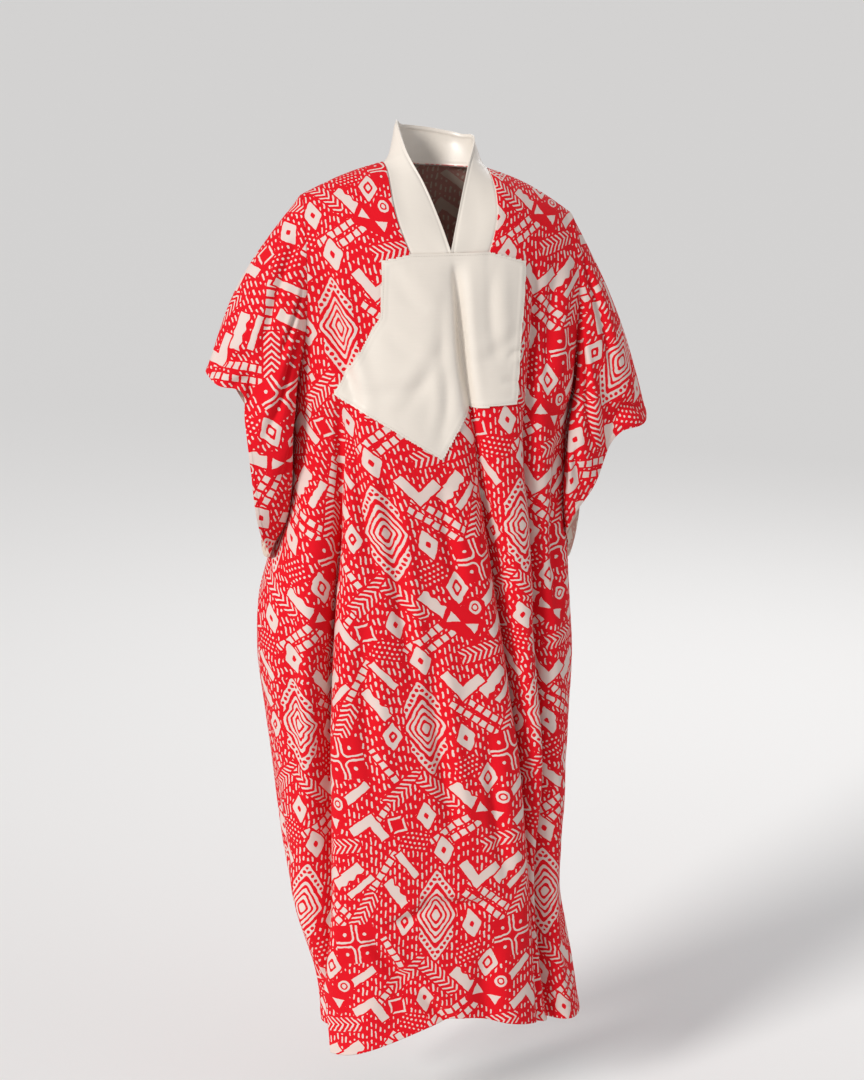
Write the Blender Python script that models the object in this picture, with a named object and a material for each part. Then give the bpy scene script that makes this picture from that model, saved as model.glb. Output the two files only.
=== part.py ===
"""Grand boubou robe, worn: front, back, two sleeves, neck band and chest panel.

Metres, +Z up, the front faces -Y and the wearer's left is +X. The origin is the middle of the
shoulder line, where the wearer's shoulders carry the robe. Every piece is a thin wall of cloth.
The pieces share one middle surface, so their walls meet at the seams with an even gap.
"""
import bpy
import bmesh
import numpy as np
from math import cos, pi, radians, sin, tan
from mathutils import Vector

# Cloth and seams
WALL = 0.0015
SEAM_GAP = 0.0003
LAYER_GAP = 0.0003
SLEEVE_CLEARANCE = 0.0009
NORMAL_FLOOR = 0.62
CUT_REACH = 0.10
CUT_SNAP = 0.0004
SHARP_ANGLE = radians(50)
POINTS_PER_METRE = 1e5

# Levels, down from the shoulder line
TOP_LEVEL = 0.070
NECK_LEVEL = -0.068
UNDERARM_LEVEL = -0.335
HEM_LEVEL = -1.42

# Shoulder line: x and z of its outer tips and of the neck points
TIP = {"right": (-0.222, 0.018), "left": (0.232, -0.021)}
NECK = {"right": (-0.086, 0.069), "left": (0.088, 0.056)}
# How far the shoulder line rises between them, and the neck seam swings outwards in front
SHOULDER_CROWN = {"right": 0.005, "left": 0.009}
NECK_SWING = {"right": 0.010, "left": 0.009}
BACK_NECK_DEPTH = 0.052
BACK_NECK_DIP = 0.004
FRONT_DROP = 0.20
BACK_DROP = 0.17
# The armhole narrows from this half depth to nothing at the underarm.
ARMHOLE_HALF_DEPTH = 0.072
ARMHOLE_FULLNESS = 2.5
ARMHOLE_CLOSING = 0.6
SIDE_POWER = 2.6
CURVE_POINTS = 241
TANGENT_STEP = 0.003

# Rows of the body grid
STRAP_ROWS = 5
ARMHOLE_ROWS = 6
SKIRT_ROWS = 16
STRAP_TURN = radians(65)
NECK_ROW = STRAP_ROWS
UNDERARM_ROW = STRAP_ROWS + ARMHOLE_ROWS
LAST_ROW = UNDERARM_ROW + SKIRT_ROWS
BAND_COLUMNS = 8
SLEEVE_ROWS = 8
FIRST_STEP = 0.007

# Body sections: level, x of the right and left side, y of front and back, roundness at the sides
SECTION_COLUMNS = ("z", "right", "left", "front", "back", "round")
SECTIONS = (
    (0.070, -0.222, 0.232, -0.134, 0.100, 1.0),
    (-0.068, -0.223, 0.233, -0.137, 0.106, 1.0),
    (-0.200, -0.226, 0.233, -0.141, 0.116, 1.0),
    (-0.335, -0.238, 0.228, -0.147, 0.116, 2.0),
    (-0.380, -0.239, 0.223, -0.148, 0.116, 2.1),
    (-0.450, -0.246, 0.219, -0.150, 0.116, 2.2),
    (-0.530, -0.262, 0.219, -0.151, 0.117, 2.3),
    (-0.590, -0.286, 0.225, -0.153, 0.119, 2.3),
    (-0.640, -0.300, 0.230, -0.154, 0.122, 2.4),
    (-0.730, -0.306, 0.236, -0.156, 0.128, 2.4),
    (-0.840, -0.294, 0.236, -0.158, 0.134, 2.4),
    (-0.970, -0.277, 0.230, -0.160, 0.142, 2.4),
    (-1.100, -0.262, 0.224, -0.160, 0.148, 2.4),
    (-1.210, -0.245, 0.229, -0.158, 0.151, 2.4),
    (-1.330, -0.213, 0.246, -0.156, 0.152, 2.4),
    (-1.420, -0.204, 0.262, -0.154, 0.152, 2.4),
)

# Lines that the columns of the front follow: level, x
SIDE_FOLD_LINE = ((0.07, -0.150), (-0.068, -0.160), (-0.367, -0.190), (-0.589, -0.204),
                  (-0.772, -0.219), (-0.954, -0.226), (-1.330, -0.205), (-1.420, -0.196))
RIGHT_NECK_LINE = ((0.070, -0.086), (-0.068, -0.065), (-0.335, -0.075), (-1.420, -0.100))
CENTRE_FOLD_LINE = ((-0.068, 0.000), (-0.332, 0.035), (-0.545, 0.075), (-0.764, 0.111),
                    (-0.982, 0.144), (-1.420, 0.165))
LEFT_NECK_LINE = ((0.070, 0.088), (-0.068, 0.065), (-0.335, 0.090), (-0.560, 0.118),
                  (-0.770, 0.141), (-0.960, 0.163), (-1.420, 0.184))
LEFT_FOLD_LINE = ((0.070, 0.150), (-0.068, 0.142), (-0.146, 0.150), (-0.377, 0.138), (-0.564, 0.158),
                  (-0.774, 0.172), (-0.960, 0.183), (-1.160, 0.182), (-1.420, 0.202))
# Lines that the columns of the back follow
BACK_RIGHT_LINE = ((0.070, -0.086), (-0.068, -0.086), (-1.420, -0.100))
BACK_LEFT_LINE = ((0.070, 0.088), (-0.068, 0.088), (-1.420, 0.100))
# Columns between the lines, from the right side to the left side, and which end they crowd to
FRONT_SPANS = ((6, "end"), (5, "start"), (BAND_COLUMNS, "end"), (BAND_COLUMNS, "start"),
               (3, "end"), (6, "start"))
BACK_SPANS = ((11, None), (6, None), (6, None), (9, None))

# Folds of the front and back: level, depth (minus goes in), half width, along a line or an x
FRONT_FOLDS = (
    ("centre", CENTRE_FOLD_LINE, ((-0.07, -0.006, 0.020), (-0.20, -0.012, 0.020), (-0.34, -0.018, 0.020),
                                  (-0.50, -0.036, 0.019), (-0.75, -0.044, 0.018), (-1.00, -0.038, 0.018),
                                  (-1.20, -0.022, 0.022), (-1.42, -0.012, 0.026))),
    ("left chest", LEFT_FOLD_LINE, ((-0.07, -0.002, 0.020), (-0.15, -0.014, 0.018), (-0.40, -0.024, 0.017),
                                    (-0.75, -0.034, 0.016), (-1.10, -0.034, 0.017), (-1.30, -0.040, 0.020),
                                    (-1.42, -0.030, 0.024))),
    ("side", SIDE_FOLD_LINE, ((-0.28, 0.000, 0.022), (-0.38, -0.018, 0.022), (-0.60, -0.044, 0.022),
                              (-0.95, -0.044, 0.022), (-1.20, -0.026, 0.020), (-1.34, -0.006, 0.018),
                              (-1.42, 0.000, 0.018))),
)
BACK_FOLDS = (
    ("right blade", ((-0.15, -0.150), (-0.80, -0.185), (-1.42, -0.170)),
     ((-0.15, 0.000, 0.034), (-0.45, -0.020, 0.034), (-1.00, -0.036, 0.034), (-1.42, -0.030, 0.038))),
    ("right back", ((-0.10, -0.060), (-0.80, -0.080), (-1.42, -0.085)),
     ((-0.20, 0.000, 0.036), (-0.60, -0.016, 0.036), (-1.10, -0.030, 0.038), (-1.42, -0.034, 0.040))),
    ("middle back", ((-0.05, 0.010), (-0.80, 0.025), (-1.42, 0.020)),
     ((-0.12, 0.000, 0.036), (-0.40, -0.014, 0.036), (-0.90, -0.026, 0.038), (-1.42, -0.028, 0.040))),
    ("left blade", ((-0.15, 0.130), (-0.80, 0.120), (-1.42, 0.130)),
     ((-0.20, 0.000, 0.034), (-0.50, -0.022, 0.034), (-1.00, -0.034, 0.034), (-1.42, -0.036, 0.038))),
)
# The hollow that runs down the right side seam near the hem: level, depth, half width
SEAM_HOLLOW = ((-0.95, 0.000, 0.024), (-1.10, -0.014, 0.024), (-1.25, -0.024, 0.024),
               (-1.42, -0.016, 0.026))

# Drop of the hem below its level, along x
FRONT_HEM = ((-0.23, 0.040), (-0.19, 0.043), (-0.10, 0.006), (0.01, -0.034), (0.10, -0.014), (0.16, 0.000),
             (0.23, 0.014), (0.27, 0.020))
BACK_HEM = ((-0.23, 0.040), (-0.15, 0.020), (0.00, 0.000), (0.15, 0.010), (0.27, 0.020))

# Cuff rings: share of the way round from the top over the front, x, y, z
CUFFS = {
    "right": (
        (0.00, -0.382, 0.004, -0.270),
        (0.07, -0.368, -0.042, -0.284),
        (0.15, -0.331, -0.060, -0.296),
        (0.22, -0.327, -0.066, -0.345),
        (0.32, -0.322, -0.068, -0.420),
        (0.42, -0.308, -0.060, -0.528),
        (0.47, -0.291, -0.040, -0.572),
        (0.52, -0.294, 0.000, -0.584),
        (0.60, -0.292, 0.040, -0.530),
        (0.70, -0.297, 0.060, -0.400),
        (0.84, -0.326, 0.060, -0.312),
    ),
    "left": (
        (0.00, 0.372, 0.004, -0.366),
        (0.07, 0.352, -0.042, -0.378),
        (0.15, 0.312, -0.060, -0.388),
        (0.28, 0.262, -0.064, -0.478),
        (0.39, 0.218, -0.068, -0.545),
        (0.50, 0.240, 0.006, -0.616),
        (0.62, 0.266, 0.046, -0.560),
        (0.74, 0.284, 0.062, -0.470),
        (0.86, 0.330, 0.058, -0.395),
    ),
}
# How the middle of each sleeve swells off the straight way from armhole to cuff:
# share of the way round from the top over the front, outwards, y, z
SLEEVE_SWELLS = {
    "right": (
        (0.00, 0.016, 0.000, 0.010),
        (0.22, 0.004, -0.016, 0.000),
        (0.40, -0.012, -0.018, -0.034),
        (0.50, 0.009, 0.000, -0.050),
        (0.60, 0.000, 0.014, -0.040),
        (0.78, 0.004, 0.016, 0.000),
    ),
    "left": (
        (0.00, 0.009, 0.000, 0.009),
        (0.22, 0.003, -0.016, 0.000),
        (0.34, -0.006, -0.018, -0.010),
        (0.43, -0.014, -0.018, -0.022),
        (0.50, 0.009, 0.000, -0.028),
        (0.60, 0.006, 0.014, -0.016),
        (0.78, 0.004, 0.016, 0.000),
    ),
}
# The sleeve leaves the underarm straight outwards before it falls.
UNDERARM_LEAVE = 0.007
FIRST_RING = 0.02
# Folds of the sleeves: sleeve, share round the ring, half width as a share, depth, where it starts
SLEEVE_FOLDS = (
    ("right", 0.20, 0.050, -0.014, 0.15),
    ("right", 0.74, 0.060, -0.014, 0.15),
    ("left", 0.20, 0.050, -0.016, 0.10),
    ("left", 0.76, 0.060, -0.014, 0.15),
)

# Neck band: inner edge, share of the way from the right foot round the back to the left foot, x, y, z
BAND_EDGE = (
    (0.00, 0.000, -0.125, -0.060),
    (0.08, -0.012, -0.107, -0.020),
    (0.16, -0.032, -0.072, 0.040),
    (0.22, -0.052, -0.030, 0.089),
    (0.27, -0.058, 0.010, 0.126),
    (0.38, -0.043, 0.052, 0.125),
    (0.50, 0.006, 0.070, 0.118),
    (0.62, 0.055, 0.052, 0.108),
    (0.73, 0.070, 0.012, 0.100),
    (0.79, 0.050, -0.035, 0.066),
    (0.85, 0.032, -0.072, 0.026),
    (0.92, 0.012, -0.107, -0.030),
    (1.00, 0.000, -0.125, -0.060),
)
BAND_CROWN = 0.004
FOOT_GAP = 0.0016

# Chest panel: x and z of its corners
CHEST_OUTLINE = (
    ("top right", -0.111, -0.077),
    ("right of the band", -0.065, -0.0695),
    ("left of the band", 0.065, -0.0695),
    ("top left", 0.127, -0.085),
    ("bottom left", 0.109, -0.315),
    ("inner corner", 0.030, -0.319),
    ("tip", -0.017, -0.403),
    ("right point", -0.188, -0.294),
    ("waist", -0.115, -0.167),
)

# Finishes: colour, roughness
FINISHES = {
    "printed cloth": ((0.62, 0.020, 0.030, 1.0), 0.85),
    "ivory satin": ((0.76, 0.68, 0.60, 1.0), 0.38),
}


def along(table, z, column=1):
    """A value of a table of levels at level z. The levels run downwards."""
    levels = [row[0] for row in table]
    values = [row[column] for row in table]
    return float(np.interp(-z, [-level for level in levels], values))


def section(z):
    """The body's section at level z, as named values."""
    return {name: along(SECTIONS, z, column) for column, name in enumerate(SECTION_COLUMNS)}


def quarter(share):
    """Rises from 0 to 1 as a quarter circle does."""
    share = np.clip(share, 0.0, 1.0)
    return np.sqrt(1 - (1 - share) ** 2)


def ease(share):
    """Rises from 0 to 1, level at both ends."""
    share = min(max(share, 0.0), 1.0)
    return share * share * (3 - 2 * share)


def bump(distance):
    """1 in the middle of a fold, falling off softly to both sides."""
    return np.exp(-distance * distance)


def shoulder_height(x):
    """Height of the shoulder line, or of the back neckline between the neck points."""
    xs = (TIP["right"][0], NECK["right"][0], NECK["left"][0], TIP["left"][0])
    zs = (TIP["right"][1], NECK["right"][1], NECK["left"][1], TIP["left"][1])
    crown = sum(SHOULDER_CROWN[side] * np.sin(pi * reach_to_neck(x, side)) for side in TIP)
    return np.interp(x, xs, zs) + crown - BACK_NECK_DIP * neck_arc(x)


def reach_to_neck(x, side):
    """0 at a shoulder's outer tip, rising to 1 at its neck point."""
    return np.clip((np.asarray(x) - TIP[side][0]) / (NECK[side][0] - TIP[side][0]), 0.0, 1.0)


def neck_arc(x):
    """0 outside the neck opening, rising to 1 at its middle."""
    start, end = NECK["right"][0], NECK["left"][0]
    return np.sin(pi * np.clip((np.asarray(x) - start) / (end - start), 0.0, 1.0))


def body_depth(x, z, back):
    """y of the body's smooth surface at x and level z."""
    here = section(z)
    middle = (here["right"] + here["left"]) / 2
    half = (here["left"] - here["right"]) / 2
    across = np.clip(np.abs((np.asarray(x) - middle) / half), 0.0, 1.0)
    share = (TIP["right"][1] - z) / (TIP["right"][1] - UNDERARM_LEVEL)
    share = min(max(share, 0.0), 1.0)
    edge = ARMHOLE_HALF_DEPTH * (1 - share ** ARMHOLE_FULLNESS) ** ARMHOLE_CLOSING
    reach = here["back"] if back else -here["front"]
    depth = edge + (reach - edge) * (1 - across ** SIDE_POWER) ** (1 / here["round"])
    drop = BACK_DROP if back else FRONT_DROP
    rise = quarter((shoulder_height(x) - z) / drop)
    start = BACK_NECK_DEPTH * neck_arc(x) if back else 0.0
    depth = start + (depth - start) * rise
    return depth if back else -depth


def section_curve(z, back):
    """Fine points of half a section, from the right side to the left side, and their arc lengths."""
    here = section(z)
    turn = np.linspace(-pi / 2, pi / 2, CURVE_POINTS)
    middle = (here["right"] + here["left"]) / 2
    half = (here["left"] - here["right"]) / 2
    x = middle + half * np.sin(turn)
    y = body_depth(x, z, back)
    steps = np.hypot(np.diff(x), np.diff(y))
    return x, y, np.concatenate([[0.0], np.cumsum(steps)])


def spread(count, length, crowd):
    """Shares of a span at which its columns lie, crowded to its start or end."""
    if crowd is None:
        return [k / count for k in range(count + 1)]
    even = min(1.0, count * FIRST_STEP / length)
    shares = [even * k / count + (1 - even) * (k / count) ** 3 for k in range(count + 1)]
    if crowd == "end":
        shares = [1 - share for share in reversed(shares)]
    return shares


def column_places(anchors, spans):
    """Places of all columns, from the places of the lines that they follow."""
    places = [anchors[0]]
    for (count, crowd), start, end in zip(spans, anchors, anchors[1:]):
        places += [start + (end - start) * share for share in spread(count, end - start, crowd)[1:]]
    return places


def front_anchors(z):
    """x of the lines that the front's columns follow, at level z."""
    here = section(z)
    lines = (SIDE_FOLD_LINE, RIGHT_NECK_LINE, CENTRE_FOLD_LINE, LEFT_NECK_LINE, LEFT_FOLD_LINE)
    return [here["right"]] + [along(line, z) for line in lines] + [here["left"]]


def back_anchors(z):
    """x of the lines that the back's columns follow, at level z."""
    here = section(z)
    right = along(BACK_RIGHT_LINE, z)
    left = along(BACK_LEFT_LINE, z)
    return [here["right"], right, (right + left) / 2, left, here["left"]]


def fold_depth(folds, arc_of, arc, total, z):
    """How far the folds push the cloth out at each arc length of a section."""
    depth = np.zeros_like(arc)
    for name, line, shape in folds:
        if z > shape[0][0]:
            continue
        centre = arc_of(along(line, z))
        depth += along(shape, z, 1) * bump((arc - centre) / along(shape, z, 2))
    if z < SEAM_HOLLOW[0][0]:
        depth += along(SEAM_HOLLOW, z, 1) * bump(arc / along(SEAM_HOLLOW, z, 2))
    return depth


def body_row(z, back):
    """One row of the body from side to side, with its folds, at level z."""
    x, y, length = section_curve(z, back)

    def arc_of(place):
        return float(np.interp(place, x, length))

    anchors = back_anchors(z) if back else front_anchors(z)
    spans = BACK_SPANS if back else FRONT_SPANS
    arc = np.array(column_places([arc_of(place) for place in anchors], spans))
    px = np.interp(arc, length, x)
    py = np.interp(arc, length, y)
    ahead = np.clip(arc + TANGENT_STEP, 0, length[-1])
    behind = np.clip(arc - TANGENT_STEP, 0, length[-1])
    tx = np.interp(ahead, length, x) - np.interp(behind, length, x)
    ty = np.interp(ahead, length, y) - np.interp(behind, length, y)
    size = np.hypot(tx, ty)
    side = -1 if back else 1
    nx = side * ty / size
    ny = -side * tx / size
    # The seams at the sides move straight outwards, so that front and back stay together.
    for edge, outward in ((0, -1.0), (-1, 1.0)):
        nx[edge] = outward
        ny[edge] = 0.0
    depth = fold_depth(BACK_FOLDS if back else FRONT_FOLDS, arc_of, arc, length[-1], z)
    hem = BACK_HEM if back else FRONT_HEM
    low = ease((UNDERARM_LEVEL - z) / (UNDERARM_LEVEL - HEM_LEVEL))
    drop = np.interp(px, [row[0] for row in hem], [row[1] for row in hem]) * low
    return [Vector((a + n * d, b + m * d, z - e))
            for a, b, n, m, d, e in zip(px, py, nx, ny, depth, drop)]


def strap_row(row, back):
    """One row of the shoulders, between the shoulder line and the neck level."""
    share = (1 - cos(STRAP_TURN * row / STRAP_ROWS)) / (1 - cos(STRAP_TURN))
    top = back_anchors(TOP_LEVEL) if back else front_anchors(TOP_LEVEL)
    low = back_anchors(NECK_LEVEL) if back else front_anchors(NECK_LEVEL)
    spans = BACK_SPANS if back else FRONT_SPANS
    places = zip(column_places(top, spans), column_places(low, spans))
    points = []
    for x_top, x_low in places:
        swing = sum(NECK_SWING[side] * outward * float(reach_to_neck(x_top, side)) ** 2
                    for side, outward in (("right", -1), ("left", 1)) if (x_top > 0) == (outward > 0))
        x = x_top + (x_low - x_top) * share + (0.0 if back else swing * sin(pi * share))
        high = float(shoulder_height(x_top))
        z = high + (NECK_LEVEL - high) * share
        y = float(body_depth(x, z, back)) if row else float(BACK_NECK_DEPTH * neck_arc(x_top)) * back
        points.append(Vector((x, y, z)))
    return points


def body_grid(back):
    """All rows of the front or back. The front's rows cross its neck opening too."""
    rows = [strap_row(row, back) for row in range(STRAP_ROWS)]
    for row in range(ARMHOLE_ROWS):
        rows.append(body_row(NECK_LEVEL + (UNDERARM_LEVEL - NECK_LEVEL) * row / ARMHOLE_ROWS, back))
    for row in range(SKIRT_ROWS + 1):
        rows.append(body_row(UNDERARM_LEVEL + (HEM_LEVEL - UNDERARM_LEVEL) * row / SKIRT_ROWS, back))
    return rows


def smooth_curve(table, place, closed):
    """A point at a place along a smooth curve through a table's rows of place, x, y and z."""
    rows = list(table)
    count = len(rows)
    if closed:
        rows = rows + [(1.0,) + tuple(rows[0][1:])]
    index = max(k for k in range(len(rows) - 1) if rows[k][0] <= place + 1e-9)
    start, end = rows[index], rows[index + 1]
    t = (place - start[0]) / (end[0] - start[0])

    def point(k):
        if closed:
            return Vector(table[k % count][1:])
        return Vector(rows[min(max(k, 0), len(rows) - 1)][1:])

    a, b, c, d = (point(index + k) for k in (-1, 0, 1, 2))
    return 0.5 * ((2 * b) + (c - a) * t + (2 * a - 5 * b + 4 * c - d) * t * t
                  + (3 * b - a - 3 * c + d) * t ** 3)


def sleeve_grid(side, front, back):
    """Rings of a sleeve from its armhole to its cuff, each from the top over the front."""
    edge = 0 if side == "right" else -1
    outward = -1 if side == "right" else 1
    armhole = [front[row][edge] for row in range(UNDERARM_ROW + 1)]
    armhole += [back[row][edge] for row in range(UNDERARM_ROW - 1, 0, -1)]
    count = len(armhole)
    lengths = [(armhole[(k + 1) % count] - armhole[k]).length for k in range(count)]
    shares = [sum(lengths[:k]) / sum(lengths) for k in range(count)]
    cuff = [smooth_curve(CUFFS[side], share, True) for share in shares]
    rings = [armhole]
    for t in [FIRST_RING] + [row / SLEEVE_ROWS for row in range(1, SLEEVE_ROWS + 1)]:
        ring = []
        for share, start, end in zip(shares, armhole, cuff):
            swell = smooth_curve(SLEEVE_SWELLS[side], share, True) * sin(pi * t)
            point = start.lerp(end, t) + Vector((outward * swell.x, swell.y, swell.z * sin(pi * t)))
            under = 0.5 - 0.5 * cos(2 * pi * share)
            point.x += outward * UNDERARM_LEAVE * (under * (1 - t)) ** 2
            for fold_side, place, width, depth, begin in SLEEVE_FOLDS:
                if fold_side == side:
                    grow = ease((t - begin) / (1 - begin))
                    inward = -1 if share < 0.5 else 1
                    point.y += inward * depth * grow * float(bump((share - place) / width))
            ring.append(point)
        rings.append(ring)
    inner = [front[row][edge + outward_step(edge)] for row in range(UNDERARM_ROW + 1)]
    inner += [back[row][edge + outward_step(edge)] for row in range(UNDERARM_ROW - 1, 0, -1)]
    inner[UNDERARM_ROW] = front[UNDERARM_ROW + 1][edge]
    rings[0] = [cleared(armhole, inner, rings[1], k) for k in range(count)]
    return rings


def outward_step(edge):
    """The step from an edge column to its neighbour."""
    return 1 if edge == 0 else -1


def cleared(seam, inner, outer, k):
    """A sleeve's seam point, moved along the sleeve until its wall clears the body's wall."""
    count = len(seam)
    run = (seam[(k + 1) % count] - seam[k - 1]).normalized()
    body_way = inner[k] - seam[k]
    body_way = (body_way - run * body_way.dot(run)).normalized()
    sleeve_way = outer[k] - seam[k]
    sleeve_way = (sleeve_way - run * sleeve_way.dot(run)).normalized()
    half_angle = body_way.angle(sleeve_way) / 2
    return seam[k] + sleeve_way * (SLEEVE_CLEARANCE / tan(half_angle) + SEAM_GAP / 2)


def band_grid(front, back):
    """Lines of the neck band, each from the seam to the inner edge, from right foot to left foot."""
    right, left = neck_columns()
    counts = [count for count, crowd in BACK_SPANS]
    seam = [front[row][right] for row in range(NECK_ROW, 0, -1)]
    seam += back[0][counts[0]:counts[0] + counts[1] + counts[2] + 1]
    seam += [front[row][left] for row in range(1, NECK_ROW + 1)]
    steps = len(seam) - 1
    lines = []
    for index, start in enumerate(seam):
        share = index / steps
        end = smooth_curve(BAND_EDGE, share, False)
        crown = BAND_CROWN * sin(pi * share)
        line = []
        for k in range(BAND_COLUMNS + 1):
            t = k / BAND_COLUMNS
            point = start.lerp(end, t)
            away = Vector((point.x, point.y, 0.0))
            if away.length > 1e-6:
                point += away.normalized() * crown * sin(pi * t)
            line.append(point)
        lines.append(line)
    # The feet of the band follow the front's edge under the neck.
    lines[0] = [front[NECK_ROW][right + k] for k in range(BAND_COLUMNS + 1)]
    lines[-1] = [front[NECK_ROW][left - k] for k in range(BAND_COLUMNS + 1)]
    lines[0][-1] = lines[0][-1] - Vector((FOOT_GAP / 2, 0.0, 0.0))
    lines[-1][-1] = lines[-1][-1] + Vector((FOOT_GAP / 2, 0.0, 0.0))
    return lines


def neck_columns():
    """Columns of the front at the right and left edge of its neck opening."""
    right = FRONT_SPANS[0][0] + FRONT_SPANS[1][0]
    return right, right + 2 * BAND_COLUMNS


def two_triangles(a, b, c, d):
    """A four-sided patch as two triangles, split along its shorter diagonal."""
    if (a - c).length <= (b - d).length:
        return [(a, b, c), (a, c, d)]
    return [(a, b, d), (b, c, d)]


def grid_triangles(rows, flip=False, closed=False, keep=lambda row, column: True):
    """Triangles of a grid of points, facing outwards."""
    triangles = []
    for row in range(len(rows) - 1):
        columns = len(rows[row]) if closed else len(rows[row]) - 1
        for column in range(columns):
            if not keep(row, column):
                continue
            after = (column + 1) % len(rows[row])
            patch = (rows[row][column], rows[row + 1][column], rows[row + 1][after], rows[row][after])
            if flip:
                patch = patch[::-1]
            triangles += two_triangles(*patch)
    return triangles


def key(point):
    """A point's place, rounded, so that points of two panels can be matched."""
    return tuple(round(value * POINTS_PER_METRE) for value in point)


def cloth_surface():
    """The triangles of each panel's middle surface."""
    front = body_grid(False)
    back = body_grid(True)
    right, left = neck_columns()
    # Front and back share their points along the shoulders and the side seams.
    back[0][:right + 1] = front[0][:right + 1]
    back[0][left - len(front[0]):] = front[0][left:]
    for row in range(UNDERARM_ROW, LAST_ROW + 1):
        for edge in (0, -1):
            middle = (front[row][edge] + back[row][edge]) / 2
            front[row][edge] = middle
            back[row][edge] = middle

    def below_neck(row, column):
        return row >= NECK_ROW or column < right or column >= left

    return {
        "front_panel": grid_triangles(front, keep=below_neck),
        "back_panel": grid_triangles(back, flip=True),
        "sleeve_right": grid_triangles(sleeve_grid("right", front, back), closed=True),
        "sleeve_left": grid_triangles(sleeve_grid("left", front, back), flip=True, closed=True),
        "neck_band": grid_triangles(band_grid(front, back), flip=True),
    }


def triangle_normal(triangle):
    """A triangle's normal, as long as twice its area."""
    a, b, c = triangle
    return (b - a).cross(c - a)


def panel_normals(triangles):
    """Summed normals of a panel's points."""
    sums = {}
    for triangle in triangles:
        normal = triangle_normal(triangle)
        for point in triangle:
            sums[key(point)] = sums.get(key(point), Vector()) + normal
    return sums


def wall_directions(panels):
    """The way in which each point of the cloth moves out, long enough to keep the wall thick."""
    own = {name: panel_normals(triangles) for name, triangles in panels.items()}
    total = {}
    for sums in own.values():
        for place, normal in sums.items():
            total[place] = total.get(place, Vector()) + normal
    directions = {}
    for place, normal in total.items():
        normal = normal.normalized()
        facing = min(normal.dot(sums[place].normalized()) for sums in own.values() if place in sums)
        directions[place] = normal / max(facing, NORMAL_FLOOR)
    return directions


def edge_pulls(triangles):
    """How far each point on a panel's edge moves in, so that two panels keep the seam's gap."""
    open_edges = {}
    for a, b, c in triangles:
        for start, end, far in ((a, b, c), (b, c, a), (c, a, b)):
            if (key(end), key(start)) in open_edges:
                del open_edges[key(end), key(start)]
            else:
                open_edges[key(start), key(end)] = (start, end, far)
    inward = {}
    for start, end, far in open_edges.values():
        along_edge = (end - start).normalized()
        across = far - start
        across = (across - along_edge * across.dot(along_edge)).normalized()
        for point in (start, end):
            inward[key(point)] = inward.get(key(point), Vector()) + across
    pulls = {place: pull * SEAM_GAP / pull.dot(pull) for place, pull in inward.items()}
    return pulls, open_edges


def cloth_wall(name, triangles, directions, lift=0.0):
    """A closed wall of cloth round a middle surface, lifted off it where it lies on another panel."""
    pulls, open_edges = edge_pulls(triangles)
    mesh = bmesh.new()
    corners = {}

    def corner(point, side):
        place = key(point)
        if (place, side) not in corners:
            offset = directions[place] * (lift + side * WALL / 2)
            corners[place, side] = mesh.verts.new(point + pulls.get(place, Vector()) + offset)
        return corners[place, side]

    for triangle in triangles:
        mesh.faces.new([corner(point, 1) for point in triangle])
        mesh.faces.new([corner(point, -1) for point in reversed(triangle)])
    for start, end, far in open_edges.values():
        mesh.faces.new((corner(end, 1), corner(start, 1), corner(start, -1), corner(end, -1)))
    bmesh.ops.triangulate(mesh, faces=[face for face in mesh.faces if len(face.verts) > 3])
    data = bpy.data.meshes.new(name)
    mesh.to_mesh(data)
    mesh.free()
    panel = bpy.data.objects.new(name, data)
    bpy.context.collection.objects.link(panel)
    return panel


def inside_outline(x, z):
    """Whether a place lies inside the chest panel's outline."""
    inside = False
    points = [(px, pz) for name, px, pz in CHEST_OUTLINE]
    for (ax, az), (bx, bz) in zip(points, points[1:] + points[:1]):
        if (az > z) != (bz > z) and x < ax + (z - az) / (bz - az) * (bx - ax):
            inside = not inside
    return inside


def chest_surface(front, directions):
    """The front, cut to the chest panel's outline, and the directions of the cut points."""
    mesh = bmesh.new()
    layer = mesh.verts.layers.float_vector.new("direction")
    corners = {}
    for triangle in front:
        for point in triangle:
            if key(point) not in corners:
                corners[key(point)] = mesh.verts.new(point)
                corners[key(point)][layer] = directions[key(point)]
        mesh.faces.new([corners[key(point)] for point in triangle])
    points = [Vector((x, 0.0, z)) for name, x, z in CHEST_OUTLINE]
    for start, end in zip(points, points[1:] + points[:1]):
        span = end - start
        near = []
        for face in mesh.faces:
            centre = face.calc_center_median()
            centre.y = 0.0
            share = min(max((centre - start).dot(span) / span.length_squared, 0.0), 1.0)
            if (centre - start - span * share).length < CUT_REACH:
                near.append(face)
        parts = near + list({edge for face in near for edge in face.edges})
        parts += list({corner for face in near for corner in face.verts})
        bmesh.ops.bisect_plane(mesh, geom=parts, dist=CUT_SNAP, plane_co=start,
                               plane_no=Vector((-span.z, 0.0, span.x)))
    outside = []
    for face in mesh.faces:
        centre = face.calc_center_median()
        if not inside_outline(centre.x, centre.z):
            outside.append(face)
    bmesh.ops.delete(mesh, geom=outside, context="FACES")
    bmesh.ops.triangulate(mesh, faces=mesh.faces)
    triangles = [tuple(corner.co.copy() for corner in face.verts) for face in mesh.faces]
    cut_directions = {key(corner.co): corner[layer].copy() for corner in mesh.verts}
    mesh.free()
    return triangles, cut_directions


def finish(panel, name):
    """Gives a panel its plain finish."""
    material = bpy.data.materials.get(name)
    if material is None:
        material = bpy.data.materials.new(name)
        material.use_nodes = True
        colour, roughness = FINISHES[name]
        shader = material.node_tree.nodes["Principled BSDF"]
        shader.inputs["Base Color"].default_value = colour
        shader.inputs["Roughness"].default_value = roughness
        shader.inputs["Metallic"].default_value = 0.0
    panel.data.materials.append(material)
    panel.data.shade_smooth()
    panel.data.set_sharp_from_angle(angle=SHARP_ANGLE)


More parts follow.
